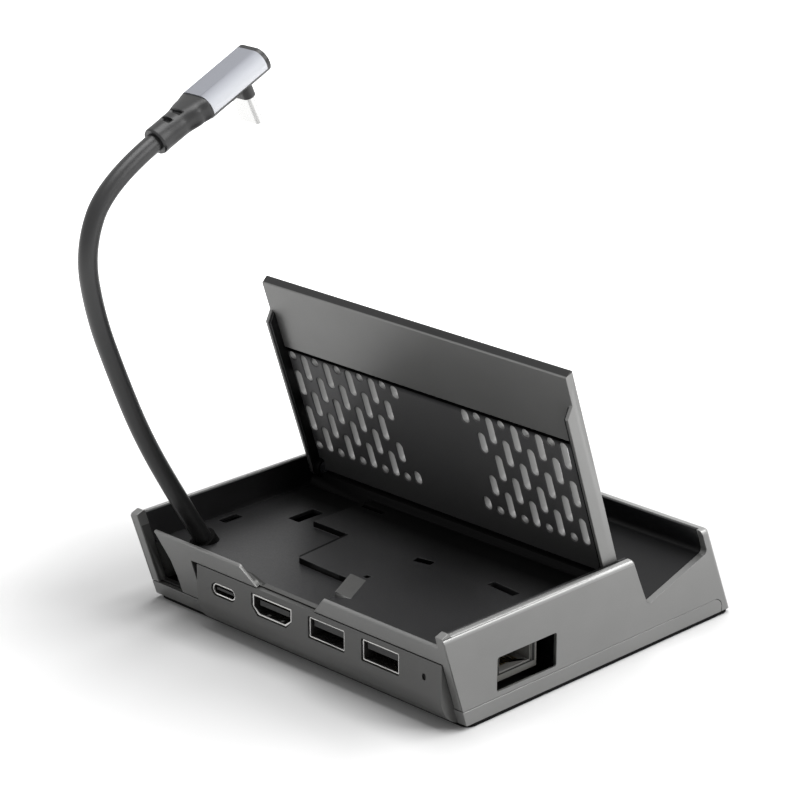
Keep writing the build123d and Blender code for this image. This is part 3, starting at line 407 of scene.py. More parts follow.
@dataclass(frozen=True)
class Finishes:
    """Every finish of the dock, by the slot of the record, and the zoned finishes of single pieces."""

    # Satin grey housing: even mid grey with a soft sheen, and a painted highlight that pales the top of the walls along
    # the upper rim
    grey_shell: MouldedPlastic = satin_grey(
        "abs_painted_satin_grey", Slab((0, 0, 1), 25.9, 1.6, "#989897", "#9e9e9d")
    )
    # The same grey, darkened and dulled by painted shade on the slopes of the finger dip
    grey_frame: MouldedPlastic = satin_grey(
        "abs_painted_satin_grey_frame",
        Slab((0, -0.9505, 0.3107), -45.3, 0.2, "#545453", "#585857", 0.5, within=Slab((0, 0, -1), -24.0, 0.1)),
        Inside((11.0, 48.0, 18.3), (17.6, 52.4, 24.1), "#3c3c3b", "#40403f", 0.2),
    )
    # The same grey, darkened by painted shade over the socket panel and in the hollow behind the side window
    grey_cover: MouldedPlastic = satin_grey(
        "abs_painted_satin_grey_cover",
        Inside((-56.6, 47.0, 0.9), (35.6, 60.0, 19.2), "#565655", "#5a5a59"),
        Inside((-58.3, -50.0, 2.4), (58.3, 46.5, 30.0), "#232221", "#282726"),
    )
    # The same grey, dark along the plate's top bevel
    grey_stand: MouldedPlastic = satin_grey(
        "abs_painted_satin_grey_stand", Slab(TILT.up, TILT.level(TILT.up, 62.75), 0.12, "#2b2b2b", "#303030")
    )
    # Black liner: satin black that turns grey where it mirrors the surroundings. Painted shade darkens
    # and dulls it in the trough, under the plate and on the walls of the steps, a painted shadow runs along
    # the foot of one step, and a painted highlight makes the cheek beside the finger dip paler grey
    black_liner: MouldedPlastic = MouldedPlastic(
        "abs_moulded_matte_black",
        "#1a1a1b",
        "#202021",
        0.42,
        0.4,
        0.008,
        zones=(
            Slab((0, -1, 0), -14.0, 15.0, "#0c0c0c", "#101010", 0.1),
            Inside((-61.0, -60.0, 5.0), (61.0, -11.5, 30.0), "#161617", "#1b1b1c", 0.35),
            Inside((-25.0, 8.0, 18.7), (45.0, 48.0, 20.22), "#070707", "#0a0a0a", 0.1),
            Stripe((18.75, 14.2), (16.75, 33.6), 0.42, "#070707", "#0a0a0a", 0.1),
            Inside((-16.0, 30.0, 20.46), (-2.0, 48.0, 22.5), "#4c4c4b", "#525251"),
        ),
    )
    # Charcoal panel whose slot walls keep the paler grey of the moulding, with a painted shadow that darkens
    # the top of the panel under the plate's band, painted shade in the groove under the band, and the
    # housing's grey on the side of the console
    dark_grille: MouldedPlastic = MouldedPlastic(
        "abs_moulded_charcoal_panel",
        "#9a9a99",
        "#a0a09f",
        0.48,
        zones=(
            PANEL_REAR,
            Slab(TILT.up, TILT.level(TILT.up, 38.6), 1.4, "#1e1e1f", "#222223", 0.3, PANEL_REAR),
            Slab(TILT.up, TILT.level(TILT.up, 40.12), 0.02, "#101010", "#131313", 0.1),
            Slab(tuple(-c for c in TILT.rear), -TILT.level(TILT.rear, -2.62), 0.02, *HOUSING_GREY),
        ),
    )
    # Rubber: black without a sheen
    pad_rubber: MouldedPlastic = MouldedPlastic("silicone_moulded_black", "#080808", "#0c0c0c", 0.8, 0.5, 0.01, 0.1)
    # Nickel plate: bright rims with soft reflections, painted shade inside the sockets, and painted glints on two
    # springs
    socket_steel: SheetMetal = SheetMetal(
        "nickel_plated_steel_sheet",
        "#dedddb",
        "#eae9e7",
        0.3,
        metallic=0.6,
        zones=(
            Slab((0, -1, 0), -53.9, 0.3, "#474645", "#504f4e"),
            Inside((7.9, 52.3, 11.5), (8.9, 53.4, 12.4), "#fafaf9", "#ffffff"),
            Inside((2.6, 52.3, 11.5), (3.6, 53.4, 12.4), "#fafaf9", "#ffffff"),
        ),
    )
    # Shield of the network socket: duller plate; round the plug's way a painted highlight draws a pale fold,
    # edged by a painted dark line
    jack_shield: SheetMetal = SheetMetal(
        "nickel_plated_steel_shield",
        "#7a7975",
        "#858480",
        0.42,
        metallic=0.5,
        zones=(
            Inside((-55.8, 18.9, 8.55), (-55.1, 32.8, 17.4), "#1b1b1a", "#20201f"),
            Inside((-55.8, 20.15, 9.0), (-55.1, 32.25, 17.4), "#9a9995", "#a4a39f"),
        ),
    )
    # Inside of the network socket: mid grey plastic
    jack_insert: MouldedPlastic = MouldedPlastic("pbt_moulded_grey", "#73726f", "#7d7c79", 0.42)
    # Plug shell: bright steel that mirrors the white surroundings
    plug_steel: SheetMetal = SheetMetal("stainless_steel_polished", "#c2c2c1", "#cccccb", 0.28, 0.6, 0.0004)
    # Socket tongues: smooth black
    socket_black: MouldedPlastic = MouldedPlastic("lcp_moulded_black", "#101011", "#161617", 0.42)
    # Gold plate: warm glints in the sockets
    contact_gold: SheetMetal = SheetMetal("gold_plated_contact", "#8f7f58", "#a18f66", 0.3)
    # Solder mask: dark green gloss
    board_green: MouldedPlastic = MouldedPlastic("solder_mask_dark_green", "#07150e", "#0a1d13", 0.4)
    # Zinc plate: cool grey metal
    screw_steel: SheetMetal = SheetMetal("zinc_plated_steel", "#6f7174", "#84868a", 0.36)
    # Light guide of the unlit lamp: near black
    lamp_clear: MouldedPlastic = MouldedPlastic("pc_moulded_near_black_guide", "#060606", "#0a0a0a", 0.3, specular=0.1)
    # Lead jacket: satin dark grey elastomer
    cable_jacket: MouldedPlastic = MouldedPlastic("tpe_extruded_jacket", "#191919", "#202021", 0.36, 0.3, 0.02)
    # Boot and plug core: soft dark grey
    boot_plastic: MouldedPlastic = MouldedPlastic("tpe_moulded_boot", "#161617", "#1b1b1c", 0.4)
    # Blasted aluminium: grey on top, fading down its rounded sides into a painted highlight
    sleeve_aluminium: SheetMetal = SheetMetal(
        "aluminium_blasted_anodised",
        "#8f9198",
        "#989aa1",
        0.68,
        0.2,
        0.004,
        metallic=0.4,
        zones=(Slab((0, -0.4226, -0.9063), -148.4, 4.6, "#d6d8dc", "#dddfe3"),),
    )


def link_piece(name: str, data: bpy.types.ID) -> Piece:
    """Makes an object at the origin in the scene.

    Args:
        name: Name of the piece.
        data: Its mesh, curve, lamp or camera.

    Returns:
        The new object.
    """
    piece = bpy.data.objects.new(name, data)
    bpy.context.scene.collection.objects.link(piece)
    return piece


def settle(piece: Piece, body: Body, node: str = "") -> None:
    """Hangs a finished piece on its body's empty and hides the CAD node that it stands for.

    Args:
        piece: The piece.
        body: Body that it rides on.
        node: CAD node that it stands for, if any.
    """
    if node:
        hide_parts(node)
    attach(piece, body.value)
    LOG.info("%s: %s", body.value, piece.name)


def bridge(form: Form, first: Sequence[bmesh.types.BMVert], second: Sequence[bmesh.types.BMVert]) -> None:
    """Joins two closed rings by a band of faces.

    Args:
        form: Mesh under work.
        first: Corners of one ring.
        second: As many corners of the other ring, in the same order.
    """
    for i in range(len(first)):
        j = (i + 1) % len(first)
        form.faces.new((first[i], first[j], second[j], second[i]))


def shaded(form: Form, mesh: bpy.types.Mesh, sharp_deg: float) -> Piece:
    """Writes a form into a mesh, shades it smooth between its sharp edges and puts it in the scene.

    Args:
        form: Mesh under work, which is freed.
        mesh: Mesh that takes the result and names the piece.
        sharp_deg: Angle from which an edge is sharp.

    Returns:
        The new piece.
    """
    form.to_mesh(mesh)
    form.free()
    mesh.shade_smooth()
    mesh.set_sharp_from_angle(angle=math.radians(sharp_deg))
    return link_piece(mesh.name, mesh)


def bake_modifiers(piece: Piece) -> None:
    """Turns a piece's modifiers into its plain mesh and removes them.

    Args:
        piece: Mesh object with modifiers.
    """
    bpy.context.view_layer.update()
    graph = bpy.context.evaluated_depsgraph_get()
    mesh = bpy.data.meshes.new_from_object(piece.evaluated_get(graph), depsgraph=graph)
    old = piece.data
    piece.modifiers.clear()
    piece.data = mesh
    mesh.name = piece.name
    bpy.data.meshes.remove(old)


def open_tree(name: str, inputs: dict[str, str]) -> tuple[Tree, bpy.types.NodeOutputs]:
    """Starts a geometry node tree with a geometry, named inputs and a finish.

    Args:
        name: Name of the tree.
        inputs: Input name to its kind of value, such as Float.

    Returns:
        The tree and its inputs as outputs to link from.
    """
    tree = bpy.data.node_groups.new(name, "GeometryNodeTree")
    for label, kind in {"Geometry": "Geometry", **inputs, "Finish": "Material"}.items():
        tree.interface.new_socket(label, in_out="INPUT", socket_type=f"NodeSocket{kind}")
    tree.interface.new_socket("Geometry", in_out="OUTPUT", socket_type="NodeSocketGeometry")
    return tree, add_node(tree, "NodeGroupInput").outputs


def close_tree(tree: Tree, whole: Node, finish: Socket) -> None:
    """Ends a geometry node tree with real meshes that wear the finish.

    Args:
        tree: Tree under work.
        whole: Node that gives the whole geometry.
        finish: The tree's input for the material.
    """
    whole = add_node(tree, "GeometryNodeRealizeInstances", {0: whole})
    whole = add_node(tree, "GeometryNodeSetMaterial", {"Geometry": whole, "Material": finish})
    add_node(tree, "NodeGroupOutput", {0: whole})


def grown(mesh: bpy.types.Mesh, tree: Tree, values: dict[str, Any]) -> bpy.types.Mesh:
    """Runs a geometry node tree on a mesh.

    Args:
        mesh: Mesh that goes in.
        tree: Geometry node tree.
        values: Input name to its value.

    Returns:
        The result as a plain mesh.
    """
    piece = link_piece(mesh.name, mesh)
    modifier = piece.modifiers.new(tree.name, "NODES")
    modifier.node_group = tree
    for item in tree.interface.items_tree:
        if item.in_out == "INPUT" and item.name in values:
            modifier[item.identifier] = values[item.name]
    bake_modifiers(piece)
    result = piece.data
    bpy.data.objects.remove(piece)
    return result


@dataclass(frozen=True)
class Moulding:
    """A CAD node whose edges get the small rounding that a mould leaves."""

    node: str
    finish: str
    edge_mm: float
    slot: str = ""
    body: Body = Body.BASE
    whole_chains: bool = False
    merge_m: float = 2e-6
    flat_deg: float = 0.6
    hard_deg: float = 32.0
    least_widths: float = 3.0
    long_mm: float = 28.0
    short_share: float = 0.6

    def weigh_edges(self, form: Form) -> None:
        """Marks the edges that get a rounding: in full when long and in part when shorter.

        A hard edge of less than a few widths stays sharp, and with whole_chains also one that runs on into it.

        Args:
            form: Mesh under work.
        """
        weight = form.edges.layers.float.new("bevel_weight_edge")
        turn, least = math.radians(self.hard_deg), self.least_widths * self.edge_mm * MM
        hard = {edge for edge in form.edges if len(edge.link_faces) == 2 and edge.calc_face_angle(0) > turn}
        short = {edge for edge in hard if edge.calc_length() <= least}
        if self.whole_chains:
            short |= {edge for edge in hard if any(other in short for v in edge.verts for other in v.link_edges)}
        for edge in form.edges:
            share = 1.0 if edge.calc_length() > self.long_mm * MM else self.short_share
            edge[weight] = share if edge in hard and edge not in short else 0.0
            edge.smooth = edge not in short
        for face in form.faces:
            face.smooth = True

    def round_edges(self, piece: Piece) -> None:
        """Rounds the weighted edges of a piece and evens its normals.

        Args:
            piece: Mesh object whose edges carry bevel weights.
        """
        bevel = piece.modifiers.new("edge_round", "BEVEL")
        bevel.width, bevel.segments, bevel.limit_method = self.edge_mm * MM, 2, "WEIGHT"
        bevel.use_clamp_overlap = False
        bevel.miter_outer = "MITER_ARC"
        even = piece.modifiers.new("even_normals", "WEIGHTED_NORMAL")
        even.keep_sharp = True
        even.weight = 100
        bake_modifiers(piece)

    def build(self, finishes: Materials) -> Piece:
        """Copies the node, merges its triangles into faces and rounds its edges.

        Args:
            finishes: Materials by name.

        Returns:
            The piece that stands for the node.
        """
        mesh = frame["nodes"][self.node].data.copy()
        form = bmesh.new()
        form.from_mesh(mesh)
        bmesh.ops.remove_doubles(form, verts=form.verts, dist=self.merge_m)
        flat = math.radians(self.flat_deg)
        bmesh.ops.dissolve_limit(form, angle_limit=flat, verts=form.verts, edges=form.edges)
        self.weigh_edges(form)
        form.to_mesh(mesh)
        form.free()
        mesh.materials.clear()
        mesh.materials.append(finishes[self.finish])
        piece = link_piece(f"{self.node}_moulded", mesh)
        self.round_edges(piece)
        settle(piece, self.body, self.node)
        return piece


@dataclass
class SlottedPanel:
    """The stand's slotted panel with its side walls and hinge knuckles, in the stand's own axes."""

    half: float = 55.3
    foot: float = -1.2
    top: float = 40.2
    lip: float = 41.4
    ledge_top: float = 41.54
    front: float = -2.7
    groove_floor: float = -1.8
    face: float = -0.5
    slot_width: float = 2.6
    slot_length: float = 8.5
    pitch: float = 4.425
    margin: float = 1.5
    row: float = 12.3
    rows: int = 2
    band: tuple[float, float] = (6.3, 40.0)
    plain_radius: float = 18.1
    least: float = 1.17
    edge: float = 0.18
    draft: float = 0.4
    corners: int = 24
    side_wall: float = 0.7
    wall_rear: float = 2.3
    wall_top: float = 50.96
    plate_rear: float = 0.05
    knuckle: Place = (2.7, 1.8, 2.2)
    knuckle_steps: int = 48
    merge: float = 0.01
    sharp_deg: float = 30.0

    def slots(self) -> list[Place]:
        """Works out every slot, clipped by the band and by the plain disc in the middle.

        Returns:
            Place across, place up and length of each slot.
        """
        middle = sum(self.band) / 2
        reach = (self.band[1] - self.band[0]) / 2
        columns = int((self.half - self.margin) / self.pitch)
        found = []
        for column in range(-columns, columns + 1):
            across = column * self.pitch
            shift = 0.0 if column % 2 else self.row / 2
            disc = math.sqrt(max(self.plain_radius**2 - across**2, 0.0))
            for row in range(-self.rows, self.rows + 1):
                centre = row * self.row + shift
                low = max(centre - self.slot_length / 2, -reach)
                high = min(centre + self.slot_length / 2, reach)
                if disc:
                    low = max(low, disc) if centre > 0 else low
                    high = min(high, -disc) if centre < 0 else high
                    high = low if centre == 0 else high
                if high - low > self.least:
                    found.append((across, middle + (low + high) / 2, high - low))
        return found

    def tree(self) -> Tree:
        """Builds the node tree that cuts a slot at each point of its input.

        Returns:
            The geometry node tree.
        """
        sizes = ("Slot Width", "Thickness", "Edge", "Draft", "Panel Width", "Panel Height", "Panel Middle")
        tree, given = open_tree("slotted_panel", dict.fromkeys(sizes, "Float"))
        # One round outline that remembers which way is outward
        ring = add_node(tree, "GeometryNodeMeshCircle", {"Vertices": self.corners, "Radius": 1.0}, fill_type="NONE")
        half_step = (0, 0, math.pi / self.corners)
        ring = add_node(tree, "GeometryNodeTransform", {"Geometry": ring, "Rotation": half_step})
        ring = add_node(
            tree,
            "GeometryNodeStoreNamedAttribute",
            {"Geometry": ring, "Name": "outward", "Value": add_node(tree, "GeometryNodeInputPosition")},
            data_type="FLOAT_VECTOR",
            domain="POINT",
        )
        rings = add_node(tree, "GeometryNodeInstanceOnPoints", {"Points": given["Geometry"], "Instance": ring})
        rings = add_node(tree, "GeometryNodeRealizeInstances", {0: rings})
        outward, length = (
            add_node(tree, "GeometryNodeInputNamedAttribute", {"Name": name}, data_type=kind).outputs["Attribute"]
            for name, kind in (("outward", "FLOAT_VECTOR"), ("slot_length", "FLOAT"))
        )
        # Stretch each outline to its slot, opened by the rounded edge
        least = add_node(tree, "ShaderNodeMath", {0: given["Slot Width"], 1: length}, operation="MINIMUM")
        radius = add_node(tree, "ShaderNodeMath", {0: least, 1: 0.5}, operation="MULTIPLY")
        rim = add_node(tree, "ShaderNodeMath", {0: radius, 1: given["Edge"]}, operation="ADD")
        grow = add_node(tree, "ShaderNodeMath", {0: rim, 1: 1.0}, operation="SUBTRACT")
        swell = add_node(tree, "ShaderNodeVectorMath", {0: outward, "Scale": grow}, operation="SCALE")
        half = add_node(tree, "ShaderNodeMath", {0: length, 1: 0.5}, operation="MULTIPLY")
        run = add_node(tree, "ShaderNodeMath", {0: half, 1: radius}, operation="SUBTRACT")
        axes = add_node(tree, "ShaderNodeSeparateXYZ", {0: outward})
        sign = add_node(tree, "ShaderNodeMath", {0: axes.outputs["Y"]}, operation="SIGN")
        shift = add_node(tree, "ShaderNodeMath", {0: sign, 1: run}, operation="MULTIPLY")
        shift = add_node(tree, "ShaderNodeCombineXYZ", {"Y": shift})
        move = add_node(tree, "ShaderNodeVectorMath", {0: swell, 1: shift}, operation="ADD")
        outline = add_node(tree, "GeometryNodeSetPosition", {"Geometry": rings, "Offset": move})
        depth, shrink, sink = (
            add_node(tree, "ShaderNodeMath", {0: given[name], 1: -1.0}, operation="MULTIPLY")
            for name in ("Thickness", "Draft", "Edge")
        )
        # Rear and front face of the panel with the slots as holes, narrowed by the draft in front
        size = {"Width": given["Panel Width"], "Height": given["Panel Height"]}
        board = add_node(tree, "GeometryNodeCurvePrimitiveQuadrilateral", size, mode="RECTANGLE")
        centre = add_node(tree, "ShaderNodeCombineXYZ", {"Y": given["Panel Middle"]})
        board = add_node(tree, "GeometryNodeTransform", {"Geometry": board, "Translation": centre})
        tighten = add_node(tree, "ShaderNodeVectorMath", {0: outward, "Scale": shrink}, operation="SCALE")
        tight = add_node(tree, "GeometryNodeSetPosition", {"Geometry": outline, "Offset": tighten})
        faces = []
        for holes in (outline, tight):
            loops = add_node(tree, "GeometryNodeMeshToCurve", {"Mesh": holes})
            lines = add_node(tree, "GeometryNodeJoinGeometry", {"Geometry": [loops, board]})
            faces.append(add_node(tree, "GeometryNodeFillCurve", {"Curve": lines}))
        sheet, under = faces
        down = add_node(tree, "ShaderNodeCombineXYZ", {"Z": depth})
        under = add_node(tree, "GeometryNodeTransform", {"Geometry": under, "Translation": down})
        under = add_node(tree, "GeometryNodeFlipFaces", {"Mesh": under})
        # Slot walls: a rounded edge, the drafted wall and the edge on the far side
        close = add_node(tree, "ShaderNodeVectorMath", {0: outward, "Scale": sink}, operation="SCALE")
        step = add_node(tree, "ShaderNodeCombineXYZ", {"Z": sink})
        inward = add_node(tree, "ShaderNodeVectorMath", {0: close, 1: step}, operation="ADD")
        widen = add_node(tree, "ShaderNodeVectorMath", {0: step, 1: close}, operation="SUBTRACT")
        both = add_node(tree, "ShaderNodeMath", {0: given["Edge"], 1: 2.0}, operation="MULTIPLY")
        wall = add_node(tree, "ShaderNodeMath", {0: depth, 1: both}, operation="ADD")
        drop = add_node(tree, "ShaderNodeCombineXYZ", {"Z": wall})
        drop = add_node(tree, "ShaderNodeVectorMath", {0: drop, 1: tighten}, operation="ADD")
        walls, chosen = outline, True
        for offset in (inward, drop, widen):
            sockets = {"Mesh": walls, "Selection": chosen, "Offset": offset, "Offset Scale": 1.0}
            strip = add_node(tree, "GeometryNodeExtrudeMesh", sockets, mode="EDGES").outputs
            walls, chosen = strip["Mesh"], strip["Top"]
        border = add_node(tree, "GeometryNodeCurveToMesh", {"Curve": board})
        sockets = {"Mesh": border, "Offset": down, "Offset Scale": 1.0}
        border = add_node(tree, "GeometryNodeExtrudeMesh", sockets, mode="EDGES")
        whole = add_node(tree, "GeometryNodeJoinGeometry", {"Geometry": [sheet, under, walls, border]})
        whole = add_node(tree, "GeometryNodeMergeByDistance", {"Geometry": whole, "Distance": self.merge})
        close_tree(tree, whole, given["Finish"])
        return tree

    def sheet(self, finish: bpy.types.Material) -> bpy.types.Mesh:
        """Cuts the slots and returns the panel as a plain mesh in the stand's axes.

        Args:
            finish: Material of the panel.

        Returns:
            The panel's mesh in millimetres, its rear face at height 0.
        """
        slots = self.slots()
        mesh = bpy.data.meshes.new("slot_places")
        mesh.from_pydata([(across, up, 0.0) for across, up, _ in slots], [], [])
        lengths = mesh.attributes.new("slot_length", "FLOAT", "POINT")
        lengths.data.foreach_set("value", [length for _, _, length in slots])
        values = {
            "Slot Width": self.slot_width,
            "Thickness": self.face - self.front,
            "Edge": self.edge,
            "Draft": self.draft,
            "Panel Width": 2 * self.half,
            "Panel Height": self.top - self.foot,
            "Panel Middle": (self.top + self.foot) / 2,
            "Finish": finish,
        }
        return grown(mesh, self.tree(), values)

    @staticmethod
    def prism(form: Form, outline: Sequence[tuple[float, float]], near: float, far: float) -> None:
        """Adds a straight bar across the stand.

        Args:
            form: Mesh under work.
            outline: Section as places up the plate and out of its rear face.
            near: Place across of one end.
            far: Place across of the other end.
        """
        loops = [[form.verts.new((x, v, n)) for v, n in outline] for x in (near, far)]
        form.faces.new(loops[0])
        form.faces.new(loops[1])
        bridge(form, *loops)

    def sides(self, form: Form) -> None:
        """Makes the side walls and the knuckles.

        Args:
            form: Mesh in the stand's axes, in millimetres.
        """
        slope_top = self.wall_top + self.wall_rear - self.plate_rear
        outline = (
            (0.0, self.face),
            (0.0, self.wall_rear),
            (self.wall_top, self.wall_rear),
            (slope_top, self.plate_rear),
            (self.lip, self.plate_rear),
            (self.lip, self.face),
        )
        radius, bore, length = self.knuckle
        edge, steps = self.edge, self.knuckle_steps
        # Section of a knuckle: distance from its outer end and radius
        section = (
            (0.0, bore),
            (0.0, radius - edge),
            (edge, radius),
            (length - edge, radius),
            (length, radius - edge),
            (length, bore),
        )
        turns = [2 * math.pi * k / steps for k in range(steps)]
        for side in (1, -1):
            near = side * self.half
            self.prism(form, outline, near, side * (self.half - self.side_wall))
            rings = [
                [form.verts.new((near - side * inset, size * math.cos(t), size * math.sin(t))) for t in turns]
                for inset, size in section
            ]
            for first, second in zip(rings, rings[1:] + rings[:1]):
                bridge(form, first, second)

    def finished(self, form: Form, mesh: bpy.types.Mesh, name: str) -> Piece:
        """Sets a form from the stand's axes into the frame.

        Args:
            form: Mesh under work in the stand's axes, which is freed.
            mesh: Mesh that takes the result.
            name: Name of the piece.

        Returns:
            The new piece.
        """
        bmesh.ops.recalc_face_normals(form, faces=form.faces)
        bmesh.ops.transform(form, matrix=TILT.place(), verts=form.verts)
        mesh.name = name
        return shaded(form, mesh, self.sharp_deg)

    def build(self, finishes: Materials) -> None:
        """Makes the panel and its side walls.

        Args:
            finishes: Materials by name.
        """
        mesh = self.sheet(finishes["dark_grille"])
        form = bmesh.new()
        form.from_mesh(mesh)
        bmesh.ops.translate(form, vec=(0, 0, self.face), verts=form.verts)
        # Floor of the groove under the lip
        low, high, near, far = self.top, self.ledge_top, self.front, self.groove_floor
        self.prism(form, ((low, near), (high, near), (high, far), (low, far)), -self.half, self.half)
        for face in form.faces:
            face.material_index = 0
        mesh.materials.clear()
        mesh.materials.append(finishes["dark_grille"])
        panel = self.finished(form, mesh, "slotted_panel")
        settle(panel, Body.STAND, "stand_grille")
        form = bmesh.new()
        self.sides(form)
        mesh = bpy.data.meshes.new("panel_side_walls")
        mesh.materials.append(finishes["black_liner"])
        settle(self.finished(form, mesh, "panel_side_walls"), Body.STAND)


@dataclass(frozen=True)
class ContactRow:
    """One row of leaves on a socket's tongue, in millimetres."""

    middle: float
    seat: float
    count: int
    spacing: float
    width: float
    length: float
    back: float = 2.2


@dataclass
class Contacts:
    """Sprung contact leaves on the tongues of the rear sockets."""

    panel_y: float = 54.3975
    leaf_thick: float = 0.12
    leaf_cuts: int = 8
    taper_from: float = 0.25
    taper: float = 0.35
    rows: tuple[ContactRow, ...] = (
        ContactRow(-14.924, 14.33, 4, 2.3, 1.0, 7.0),
        ContactRow(-34.716, 14.33, 4, 2.3, 1.0, 7.0),
        ContactRow(5.977, 15.2, 10, 1.0, 0.45, 6.0),
        ContactRow(5.977, 13.6, 9, 1.0, 0.45, 6.0),
        ContactRow(24.826, 14.06, 12, 0.5, 0.26, 4.5, back=1.7),
        ContactRow(24.826, 13.3, 12, 0.5, 0.26, 4.5, back=1.7),
    )

    def tree(self) -> Tree:
        """Builds the node tree of one row: a line of leaves with narrowed tips.

        Returns:
            The geometry node tree.
        """
        sizes = dict.fromkeys(("Spacing", "Leaf Width", "Leaf Length", "Leaf Thickness"), "Float")
        tree, given = open_tree("contact_row", {"Count": "Int", **sizes, "Start": "Vector"})
        step = add_node(tree, "ShaderNodeCombineXYZ", {"X": given["Spacing"]})
        line = add_node(tree, "GeometryNodeMeshLine", {"Count": given["Count"], "Offset": step}, mode="OFFSET")
        size = {"X": given["Leaf Width"], "Y": given["Leaf Length"], "Z": given["Leaf Thickness"]}
        size = add_node(tree, "ShaderNodeCombineXYZ", size)
        leaf = add_node(tree, "GeometryNodeMeshCube", {"Size": size, "Vertices Y": self.leaf_cuts})
        axes = add_node(tree, "ShaderNodeSeparateXYZ", {0: add_node(tree, "GeometryNodeInputPosition")}).outputs
        share = add_node(tree, "ShaderNodeMath", {0: axes["Y"], 1: given["Leaf Length"]}, operation="DIVIDE")
        # The tip narrows towards the mouth of the socket
        ends = {"From Min": self.taper_from, "From Max": 0.5, "To Min": 0.0, "To Max": -self.taper}
        taper = add_node(tree, "ShaderNodeMapRange", {"Value": share, **ends})
        narrow = add_node(tree, "ShaderNodeMath", {0: axes["X"], 1: taper}, operation="MULTIPLY")
        shift = add_node(tree, "ShaderNodeCombineXYZ", {"X": narrow})
        leaf = add_node(tree, "GeometryNodeSetPosition", {"Geometry": leaf, "Offset": shift})
        leaves = add_node(tree, "GeometryNodeInstanceOnPoints", {"Points": line, "Instance": leaf})
        leaves = add_node(tree, "GeometryNodeTransform", {"Geometry": leaves, "Translation": given["Start"]})
        close_tree(tree, leaves, given["Finish"])
        return tree

    def build(self, finishes: Materials) -> None:
        """Makes all rows as one piece on the base.

        Args:
            finishes: Materials by name.
        """
        tree = self.tree()
        form = bmesh.new()
        for row in self.rows:
            start = row.middle - row.spacing * (row.count - 1) / 2
            values = {
                "Count": row.count,
                "Spacing": row.spacing,
                "Leaf Width": row.width,
                "Leaf Length": row.length,
                "Leaf Thickness": self.leaf_thick,
                "Start": (start, self.panel_y - row.back - row.length / 2, row.seat),
                "Finish": finishes["contact_gold"],
            }
            form.from_mesh(grown(bpy.data.meshes.new("contact_row"), tree, values))
        bmesh.ops.scale(form, vec=(MM, MM, MM), verts=form.verts)
        mesh = bpy.data.meshes.new("socket_contacts")
        form.to_mesh(mesh)
        form.free()
        mesh.materials.append(finishes["contact_gold"])
        settle(link_piece("socket_contacts", mesh), Body.BASE)


@dataclass
class Boot:
    """Strain relief of the plug: a waisted sleeve with two notches that let it bend.

    Each station gives a share of the length, and the width, height and fullness of the section there.
    """

    start: Place = (46.5, 55.3975, 133.8)
    rise_deg: float = 25.0
    length: float = 16.7
    stations: tuple[tuple[float, float, float, float], ...] = (
        (0.0, 7.2, 7.2, 1.0),
        (0.03, 7.7, 7.7, 1.0),
        (0.16, 7.7, 7.6, 1.0),
        (0.5, 8.3, 7.1, 0.92),
        (0.8, 10.2, 6.9, 0.72),
        (1.0, 11.4, 6.8, 0.6),
    )
    notches: tuple[float, ...] = (0.34, 0.56)
    notch_half: float = 0.045
    notch_depth: float = 1.1
    notch_turn: tuple[float, float] = (1.05, 2.05)
    fade_along: float = 0.012
    fade_around: float = 0.12
    rings: int = 110
    steps: int = 96
    sharp_deg: float = 45.0

    def section(self, share: float) -> Place:
        """Width, height and fullness of the boot at a share of its length.

        Args:
            share: 0 at the lead and 1 at the sleeve.

        Returns:
            Width, height and power of the section.
        """
        rows = self.stations
        for i in range(len(rows) - 1):
            if share <= rows[i + 1][0]:
                break
        t = (share - rows[i][0]) / (rows[i + 1][0] - rows[i][0])
        t = t * t * (3 - 2 * t) if i else t
        return tuple(a + (b - a) * t for a, b in zip(rows[i][1:], rows[i + 1][1:]))

    def pressed(self, share: float, turn: float) -> float:
        """Depth of the notches at a point of the boot's skin.

        Args:
            share: 0 at the lead and 1 at the sleeve.
            turn: Angle round the boot, 0 on the outer side and a quarter turn on top.

        Returns:
            Depth in millimetres.
        """
        centre = sum(self.notch_turn) / 2
        reach = (self.notch_turn[1] - self.notch_turn[0]) / 2
        off = abs((turn - centre + math.pi) % (2 * math.pi) - math.pi)
        around = min(max((reach - off) / self.fade_around + 0.5, 0.0), 1.0)
        depth = 0.0
        for middle in self.notches:
            along = (self.notch_half - abs(share - middle)) / self.fade_along + 0.5
            depth = max(depth, self.notch_depth * min(max(along, 0.0), 1.0) * around)
        return depth

    def build(self, finishes: Materials) -> Piece:
        """Lofts the boot along the plug's axis.

        Args:
            finishes: Materials by name.

        Returns:
            The piece that stands for the boot.
        """
        rise = math.radians(self.rise_deg)
        axis = Vector((0, -math.cos(rise), math.sin(rise)))
        up = Vector((0, math.sin(rise), math.cos(rise)))
        across = Vector((1, 0, 0))
        form = bmesh.new()
        loops = []
        for k in range(self.rings + 1):
            share = k / self.rings
            wide, tall, power = self.section(share)
            centre = Vector(self.start) + axis * share * self.length
            loop = []
            for s in range(self.steps):
                turn = 2 * math.pi * s / self.steps
                c, d = math.cos(turn), math.sin(turn)
                x = wide / 2 * math.copysign(abs(c) ** power, c)
                y = tall / 2 * math.copysign(abs(d) ** power, d)
                keep = 1 - self.pressed(share, turn) / math.hypot(x, y)
                loop.append(form.verts.new((centre + across * x * keep + up * y * keep) * MM))
            loops.append(loop)
        for first, second in zip(loops, loops[1:]):
            bridge(form, first, second)
        form.faces.new(loops[0])
        form.faces.new(loops[-1])
        bmesh.ops.recalc_face_normals(form, faces=form.faces)
        mesh = bpy.data.meshes.new("plug_boot_notched")
        mesh.materials.append(finishes["boot_plastic"])
        piece = shaded(form, mesh, self.sharp_deg)
        settle(piece, Body.BASE, "plug_boot")
        return piece


